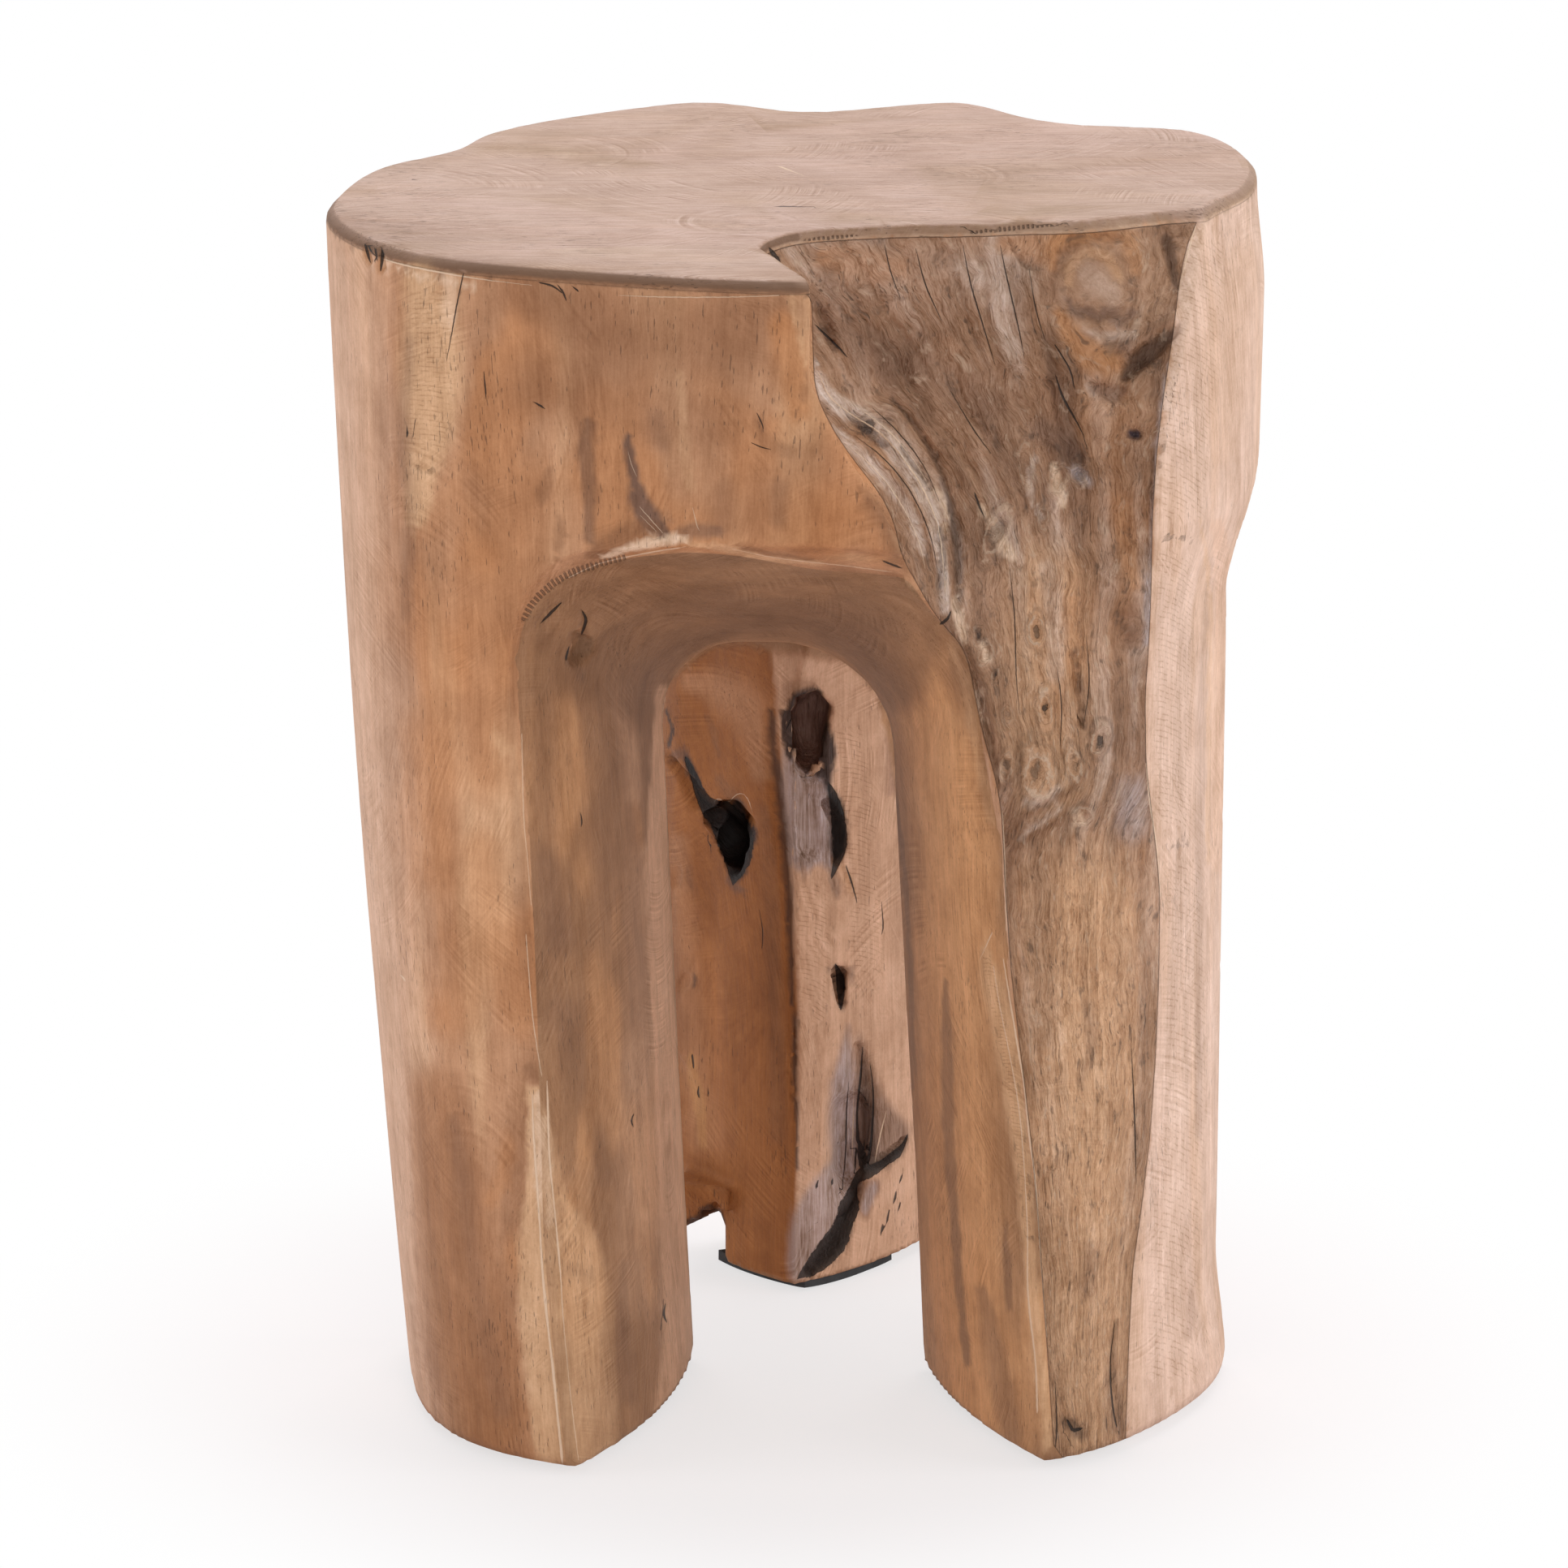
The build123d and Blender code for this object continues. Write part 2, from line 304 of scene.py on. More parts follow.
# Knots of the flank: u, v, half width and half height in pixels, rise in metres, lean in degrees,
# then how dark their core and how pale their ring is
flankKnots = [
    (1066, 528, 18, 30, -0.0012, -48, 0.8, 0.2),
    (1350, 345, 44, 42, 0.0006, 0, 0.0, 0.05),
    (1264, 577, 9, 30, 0.0008, 5, 0.1, 0.6),
    (1303, 592, 12, 22, 0.0020, -10, 0.0, 0.5),
    (1330, 586, 12, 12, 0.0010, 0, 0.3, 0.3),
    (1285, 637, 6, 15, 0.0006, 0, 0.2, 0.6),
    (1229, 655, 13, 36, 0.0018, -24, 0.4, 0.7),
    (1206, 782, 7, 16, -0.0008, -10, 0.7, 0.4),
    (1214, 806, 9, 16, 0.0014, -15, 0.0, 0.6),
    (1226, 830, 6, 10, -0.0006, 0, 0.8, 0.6),
    (1277, 778, 10, 21, 0.0012, 4, 0.7, 0.9),
    (1242, 880, 7, 12, 0.0006, 0, 0.3, 0.4),
    (1288, 872, 10, 24, 0.0014, 2, 1.0, 0.8),
    (1355, 912, 10, 20, 0.0014, -12, 0.9, 0.9),
    (1277, 950, 17, 34, 0.0018, 8, 0.6, 0.9),
    (1325, 944, 9, 22, 0.0014, 12, 0.4, 0.8),
    (1334, 1006, 12, 12, 0.0010, 30, 0.0, 0.6),
    (1240, 945, 8, 20, 0.0012, -10, 0.6, 0.6),
    (1208, 868, 5, 20, 0.0010, -6, 0.5, 0.6),
    (1392, 775, 20, 18, -0.0008, 0, 0.2, 0.0),
]


def knotSpans(u, v, knot):
    # how far each place is from a knot, in its own half widths and half heights
    lean = math.radians(knot[5])
    offU = (u - knot[0]) * math.cos(lean) - (v - knot[1]) * math.sin(lean)
    offV = (u - knot[0]) * math.sin(lean) + (v - knot[1]) * math.cos(lean)
    return offU / knot[2], offV / knot[3]


# Edge of the front arch on the log's face, in pixels of the photograph
archOutline = [
    (697, 1830), (697, 1800), (690, 1740), (684, 1680), (676, 1600), (669, 1500), (667, 1400), (664, 1330),
    (662, 1250), (655, 1080), (650, 1000), (641, 900), (639, 820), (641, 785), (649, 762), (662, 742), (690, 716),
    (716, 703), (745, 695), (775, 688), (805, 684), (850, 681), (900, 684), (950, 692), (1000, 701), (1050, 705),
    (1100, 710), (1120, 717), (1142, 747), (1166, 774), (1188, 803), (1200, 850), (1212, 925), (1222, 980),
    (1230, 1030), (1235, 1100), (1242, 1200), (1255, 1300), (1266, 1400), (1279, 1500), (1286, 1620), (1298, 1780),
    (1300, 1830),
]


def survey(points, normals):
    # what kind of wood each place of the skin is
    x, y, z = points.T
    u, v = toPhoto(points)
    tilt = camera["elevation"]
    toEye = -normals[:, 1] * math.cos(tilt) + normals[:, 2] * math.sin(tilt)
    radius = np.maximum(np.hypot(x, y), 1e-4)
    facing = (normals[:, 0] * x + normals[:, 1] * y) / radius
    seat = ease(0.55, 0.85, normals[:, 2]) * (z > logShape["seatFrom"])
    rim = ease(*logShape["rimHeights"], z) * (1 - seat)
    foot = ease(-0.5, -0.85, normals[:, 2]) * (z < logShape["footTop"])
    crownLow, crownHigh = logShape["crownHeights"]
    outer = ease(0.56, 0.64, facing)
    outer = np.where(z > crownLow, 1 - ease(0.30, 0.42, -normals[:, 2]), outer)
    outer = np.where(z > crownHigh, 1.0, outer)
    reached = logShape["borderReach"]
    archSide = outlineField(u, v, archOutline, reached)
    looked = (toEye > -0.1) & (y < 0.03)
    inArch = looked & (archSide > 0)
    onFace = looked & (archSide <= 0) & (y < logShape["faceFront"]) & (facing > 0.0)
    onFace &= np.abs(x) < logShape["faceHalfWidth"]
    outlineU, outlineV = zip(*innerOutline)
    below = v - np.interp(u, outlineU, outlineV)
    wall = y - logShape["ridgeY"] - logShape["faceSlope"] * np.abs(x)
    (left, right), (front, back) = logShape["windowPixels"], logShape["windowDepths"]
    window = (below > 0) & (u > left) & (u < right) & (y > front) & (y < back) & (wall < logShape["windowWall"])
    outer = np.where(inArch | window, 0.0, np.where(onFace, 1.0, outer)) * (1 - foot)
    lipU, creaseU = edgeAt("lip", v), edgeAt("crease", v)
    flankShare = (u - lipU) / (creaseU - lipU)
    forward = ease(0.0, -0.02, y)
    flank = outer * forward * ease(-0.012, 0.006, flankShare) * ease(1.012, 0.994, flankShare)
    flank *= (v > logShape["flankTop"]) * (1 - seat)
    rear = (1 - outer) * ease(0.035, 0.045, y) * ease(0.066, 0.048, np.abs(x)) * ease(-14, 2, below) * (1 - foot)
    flankSide = np.clip(np.minimum(u - lipU, creaseU - u), -reached, reached)
    flankSide = np.where((y < -0.005) & (v > logShape["flankFieldTop"]), flankSide, -reached)
    # on the hidden arches the border follows the rounded edge
    crown = ease(0.30, 0.35, z)
    border = (1 - crown) * ease(0.40, 0.80, facing) + crown * (1 - ease(0.15, 0.57, -normals[:, 2]))
    border = np.where(z > crownHigh, 1.0, border) * (1 - foot)
    insideSide = np.where(inArch | onFace, archSide, np.where(window, reached, reached * (1 - 2 * border)))
    return {
        "points": points,
        "normals": normals,
        "u": u,
        "v": v,
        "seat": seat,
        "rim": rim * (1 - foot),
        "foot": foot,
        "front": forward,
        "flank": flank,
        "rear": rear,
        "wall": wall,
        "flankSide": flankSide * logShape["borderScale"],
        "insideSide": insideSide * logShape["borderScale"],
        "hidden": 1.0 - (inArch | onFace | window),
        "arch": (1 - outer) * (1 - rear) * (1 - foot) * (1 - seat),
        "bark": outer * (1 - seat) * (1 - flank),
        "seen": ease(-0.05, 0.1, toEye),
    }


def grainPlaces(skin):
    # grain coordinates in metres: two across the fibres, the third along them
    points = skin["points"]
    warp = 0.006 * cloud(points, (0.06, 0.06, 0.12), 3.0)
    grain = points.copy()
    grain[:, 0] += warp
    u, v = skin["u"], skin["v"]
    flow = (u - edgeAt("flow", v)) / (edgeAt("crease", v) - edgeAt("flow", v)) * 0.085
    flow += 0.0030 * cloud(points, (0.05, 0.05, 0.035), 9.0) + 0.0012 * cloud(points, (0.02, 0.02, 0.014), 5.0)
    flow += 0.012 * np.tanh((v - 990) / 40)
    for knot in flankKnots:  # fibres part round a knot
        offU, offV = knotSpans(u, v, knot)
        flow -= np.exp(-0.5 * (offU**2 + (offV / 1.5) ** 2)) * offU * knot[2] * 0.00020
    flankGrain = np.column_stack((flow, points[:, 1] * 0.3, points[:, 2]))
    left = skin["rear"] * ease(2, -2, u - edgeAt("ridge", v)) * ease(0.10, 0.20, points[:, 2])
    grain[:, 0] += 0.45 * left * (points[:, 2] - 0.10)
    return grain, flankGrain


# Carving strokes by zone: depth in metres, positive into the wood, then points (u, v, half width) in pixels
carving = {
    "flank": [
        (0.0035, [(1452, 402, 4), (1425, 425, 9), (1398, 448, 11), (1384, 462, 8)]),
        (-0.003, [(1460, 388, 6), (1425, 405, 10), (1385, 425, 12)]),
        (0.0012, [(1290, 420, 7), (1303, 470, 9), (1313, 520, 13), (1322, 560, 13)]),
        (0.0016, [(1326, 378, 5), (1345, 392, 8), (1362, 388, 5), (1384, 392, 9)]),
        (0.0026, [(1345, 478, 8), (1370, 486, 12)]),
        (0.003, [(1393, 535, 6), (1400, 536, 6)]),
        (0.0022, [(1437, 300, 7), (1444, 340, 6), (1449, 356, 3)]),
        (-0.0018, [
            (1010, 455, 5), (1024, 486, 7), (1052, 506, 7), (1088, 538, 8), (1122, 575, 8), (1150, 625, 7),
            (1160, 680, 6), (1163, 745, 5),
        ]),
        (-0.0014, [(1022, 505, 4), (1050, 538, 6), (1082, 565, 7), (1112, 600, 7), (1135, 640, 6), (1150, 690, 5)]),
        (0.0016, [(1048, 512, 5), (1068, 530, 9), (1090, 549, 5)]),
        (0.0018, [
            (1100, 492, 2), (1125, 520, 4), (1150, 560, 4), (1168, 605, 5), (1176, 650, 5), (1180, 700, 5),
            (1178, 750, 4),
        ]),
        (0.0014, [(1110, 552, 2), (1130, 578, 4), (1146, 602, 3)]),
        (0.0016, [(1161, 655, 3), (1160, 690, 4), (1158, 725, 2)]),
        (0.0026, [(1012, 385, 6), (1020, 405, 6), (1030, 430, 3)]),
        (0.0022, [(1244, 300, 2), (1262, 325, 3), (1283, 330, 2)]),
        (0.0008, [(1200, 300, 2), (1212, 350, 3), (1222, 420, 3), (1232, 470, 2)]),
        (0.0008, [(1168, 310, 2), (1184, 370, 3), (1205, 430, 2)]),
        (0.001, [(1060, 330, 2), (1090, 380, 3), (1125, 430, 3), (1150, 470, 2)]),
        (0.001, [(1040, 350, 2), (1062, 390, 3), (1100, 440, 3), (1140, 500, 2)]),
        (0.0012, [(1318, 1752, 8), (1330, 1768, 9)]),
        (0.0008, [(1394, 1300, 1.5), (1396, 1400, 2), (1397, 1450, 1.5)]),
        (0.001, [(1375, 1625, 2), (1370, 1680, 2), (1378, 1750, 3)]),
        (0.002, [(1320, 805, 3), (1330, 850, 4), (1334, 895, 3)]),
        (0.0018, [(1195, 800, 3), (1200, 840, 4), (1205, 880, 3), (1222, 930, 4), (1226, 985, 3)]),
    ],
    "bark": [
        (0.002, [(451, 304, 2), (455, 322, 2)]),
        (0.0024, [(469, 306, 2), (471, 330, 3)]),
        (0.0004, [(773, 538, 5), (782, 590, 8), (800, 635, 10), (822, 662, 6)]),
    ],
    "arch": [
        (0.004, [(714, 786, 7), (719, 798, 11), (710, 812, 7)]),
        (0.0016, [(717, 752, 1.5), (722, 766, 2.5), (718, 782, 3)]),
        (0.0012, [(690, 745, 2), (672, 758, 3), (664, 770, 2)]),
    ],
    "rear": [
        (0.004, [(842, 936, 3), (852, 950, 4), (862, 972, 5), (870, 990, 7)]),
        (0.006, [(885, 1006, 10), (903, 1030, 15), (905, 1052, 11), (904, 1072, 5)]),
        (0.004, [(1000, 862, 8), (988, 892, 16), (992, 925, 18), (1004, 952, 12)]),
        (0.003, [(990, 960, 14), (996, 1000, 18), (998, 1040, 16)]),
        (0.006, [(1020, 990, 5), (1031, 1015, 7), (1034, 1040, 7), (1031, 1062, 5)]),
        (0.006, [(1030, 1196, 4), (1034, 1215, 5), (1038, 1236, 4)]),
        (0.003, [(1058, 1290, 6), (1062, 1340, 16), (1064, 1390, 20), (1052, 1430, 22)]),
        (0.004, [(1066, 1425, 5), (1082, 1434, 6), (1102, 1418, 5), (1116, 1404, 3)]),
        (0.006, [(1058, 1455, 6), (1052, 1480, 8), (1042, 1506, 9), (1032, 1528, 9), (1012, 1550, 9), (1000, 1566, 6)]),
        (0.002, [(950, 880, 7), (957, 960, 9), (969, 1050, 8), (974, 1150, 6), (978, 1250, 4), (980, 1350, 3)]),
        (0.0012, [(820, 878, 2), (828, 904, 3), (824, 924, 3), (840, 926, 5), (850, 944, 4)]),
        (0.0012, [(852, 1072, 4), (850, 1090, 4)]),
        (0.0014, [(858, 1204, 4), (856, 1216, 4)]),
        (0.001, [(850, 1302, 4), (858, 1335, 7), (862, 1368, 6)]),
    ],
}

# Fine shaping of the whole skin
shaping = {
    "swellSize": (0.055, 0.055, 0.15),
    "swell": 0.0007,
    "flankSwellSize": (0.030, 0.030, 0.050),
    "flankSwell": 0.0016,
    "ridgeSize": (0.0052, 0.02, 0.060),
    "ridge": 0.0010,
    "furrowSize": (0.0024, 0.01, 0.030),
    "furrow": 0.00045,
    "evenPull": 0.6,
    "wornRounds": 40,
    "borderRounds": 14,
    "rightSwell": 0.0036,
    "rightStep": 0.0046,
    "cornerBack": 0.009,
    "rearReach": 0.0055,
    "soleBand": 0.0025,
}

# How fine the triangles get where the photograph looks closest, from 0 to 1
detailShares = {"most": 0.98, "front": 0.75, "seat": 0.5, "least": 0.30}


def evenOut(mesh, values, share, rounds):
    # moves each value towards the mean of its neighbours on the mesh
    pairs = np.empty(len(mesh.edges) * 2, dtype=np.int64)
    mesh.edges.foreach_get("vertices", pairs)
    pairs = pairs.reshape(-1, 2)
    pairs = pairs[(share[pairs] > 0).any(axis=1)]
    both = np.concatenate((pairs, pairs[:, ::-1]))
    count = np.maximum(np.bincount(both[:, 0], minlength=len(share)), 1)
    for _ in range(rounds):
        for column in values.T:
            mean = np.bincount(both[:, 0], weights=column[both[:, 1]], minlength=len(share)) / count
            column += shaping["evenPull"] * share * (mean - column)


def softenBreak(log):
    # the broken foot of the rear leg has worn edges, not sawn ones
    points = readSkin(log.data)[0]
    u, v = toPhoto(points)
    share = ease(1006, 1024, u) * ease(1112, 1096, u) * ease(1300, 1328, v) * ease(1504, 1470, v)
    share *= points[:, 1] > 0.05
    evenOut(log.data, points, share, shaping["wornRounds"])
    log.data.vertices.foreach_set("co", points.astype(np.float32).ravel())
    log.data.update()


def carveSkin(log):
    softenBreak(log)
    points, normals = readSkin(log.data)
    skin = survey(points, normals)
    grain, flankGrain = grainPlaces(skin)
    grain = np.where(skin["flank"][:, None] > 0.5, flankGrain, grain)
    flank = skin["flank"]
    rise = shaping["swell"] * cloud(points, shaping["swellSize"], 1.0) * (1 - skin["seat"]) * (1 - skin["foot"])
    rise += flank * shaping["flankSwell"] * cloud(points, shaping["flankSwellSize"], 2.0)
    ridge = cloud(grain, shaping["ridgeSize"], 4.0)
    furrow = cloud(grain, shaping["furrowSize"], 6.0)
    rough = 0.35 + 0.65 * ease(-0.2, 0.5, cloud(points, (0.04, 0.04, 0.06), 8.0))
    rise += flank * rough * (shaping["ridge"] * (0.4 - np.abs(ridge)) * 2 + shaping["furrow"] * furrow)
    for knot in flankKnots:
        far = np.hypot(*knotSpans(skin["u"], skin["v"], knot))
        bump = np.exp(-1.6 * (far - 0.8) ** 2 / 0.25) - 0.7 * np.exp(-2.5 * far**2)
        rise += 0.7 * flank * knot[4] * np.where(far < 2.4, bump, 0)
    wobbleU = 2.2 * cloud(points, 0.006, 11.0) + 1.0 * cloud(points, 0.0026, 12.0)
    wobbleV = 2.2 * cloud(points, 0.006, 13.0) + 1.0 * cloud(points, 0.0026, 14.0)
    for zone, depth, line in strokesOf(carving):
        near, signed, past, width, along = strokeField(skin["u"] + wobbleU, skin["v"] + wobbleV, line)
        cut = ease(1.5, 0.35, np.hypot(signed, past) / width)
        rise[near] -= depth * cut * skin[zone][near] * skin["seen"][near]
    moved = points + normals * rise[:, None]
    # the right side swells below the seat and steps in under it
    x, y, z = points.T
    radius = np.hypot(x, y)
    turn = ease(0.62, 0.92, np.cos(np.arctan2(y, x) - math.radians(8)))
    swell = shaping["rightSwell"] * ease(0.446, 0.405, z) * ease(0.300, 0.345, z)
    swell -= shaping["rightStep"] * ease(0.345, 0.300, z) * ease(0.0, 0.05, z)
    swell *= turn * ease(0.10, 0.14, radius)
    moved[:, 0] += swell * x / np.maximum(radius, 0.01)
    moved[:, 1] += swell * y / np.maximum(radius, 0.01)
    # the seat's corner above the crease lies further back
    corner = np.exp(-(((x - 0.146) / 0.034) ** 2)) * ease(0.35, 0.44, z) * ease(0.02, -0.045, y)
    moved[:, 1] += shaping["cornerBack"] * corner
    # the rear leg's left side reaches behind the front leg's edge
    leftSide = ease(0.022, 0.034, z) * ease(0.345, 0.30, z) * ease(-0.030, -0.041, x) * ease(0.055, 0.075, y)
    moved[:, 0] -= shaping["rearReach"] * leftSide
    low = points[:, 2].min()
    moved[:, 2] = np.maximum(moved[:, 2], low)
    sole = (points[:, 2] < low + shaping["soleBand"]) & (normals[:, 2] < -0.5)
    moved[sole, 2] = low
    log.data.vertices.foreach_set("co", moved.astype(np.float32).ravel())
    log.data.update()
    # the weight falls where the triangles are to stay fine
    seen = skin["seen"] * (1 - skin["seat"])
    close = np.maximum(skin["flank"], skin["rear"]) * seen
    facade = np.maximum(skin["bark"], skin["arch"] * (points[:, 1] < 0.08))
    close = np.maximum(close, detailShares["front"] * seen * facade)
    close = np.maximum(close, detailShares["seat"] * skin["seat"])
    close = np.clip(close, detailShares["least"], detailShares["most"])
    detail = log.vertex_groups.new(name="detail")
    for level in np.unique(np.round(close, 1)):
        chosen = np.nonzero(np.round(close, 1) == level)[0].tolist()
        detail.add(chosen, float(min(max(1 - level, 0.02), 1)), "REPLACE")
    reduce = log.modifiers.new("reduce", "DECIMATE")
    reduce.ratio = min(1.0, skinSettings["triangles"] / (len(log.data.polygons) * 2))
    reduce.vertex_group = "detail"
    reduce.vertex_group_factor = 1.0
    applyModifiers(log)
    log.vertex_groups.clear()
    log.data.polygons.foreach_set("use_smooth", [True] * len(log.data.polygons))


# Colours of the wood, 0 to 255
woodColours = {
    "bark": (183, 133, 97),
    "barkBrown": (148, 101, 69),
    "barkPale": (214, 169, 128),
    "barkOrange": (184, 122, 75),
    # pale pink of the silhouettes: partly the wood's own tone, partly a painted highlight where light grazes the edges
    "edgePink": (214, 172, 143),
    "seat": (184, 150, 132),
    "seatBrown": (160, 125, 97),
    "seatPink": (190, 154, 140),
    "rim": (124, 89, 66),
    "rimPale": (176, 142, 116),
    # darker brown of the arch's ceiling: painted shade under the seat
    "arch": (157, 115, 82),
    "archDark": (140, 102, 73),
    # warm light brown: a warmer tone of the insides, and on the front-right reveal painted light
    "archWarm": (216, 158, 108),
    "archPale": (222, 176, 140),
    "flank": (156, 116, 88),
    "flankDark": (114, 82, 62),
    "flankLow": (206, 158, 118),
    # silvery pale of weathered fibres; along the rolled lip also a painted highlight
    "silk": (206, 180, 162),
    "orange": (176, 120, 76),
    # the bark right of the crease painted paler: a painted highlight of the light from the right
    "strip": (218, 184, 162),
    "stripWarm": (206, 166, 136),
    "rearLeft": (148, 90, 46),
    "rearRight": (202, 158, 127),
    "stain": (108, 76, 58),
    "purple": (100, 74, 62),
    "umber": (122, 80, 52),
    "greyWood": (162, 139, 131),
    # brown inside the right-hand hollows: painted shade
    "hollowShadeBrown": (136, 98, 82),
    # near black of the hollows, the pit and the slit: painted shade
    "black": (24, 18, 17),
    # dark brown of cracks, knot cores and the bottoms of grooves; in the hollows and around the broken foot it is
    # painted shade
    "char": (56, 40, 35),
    "cream": (228, 194, 164),
    "golden": (186, 132, 80),
    "blueGrey": (168, 152, 148),
    "ink": (50, 48, 64),
}

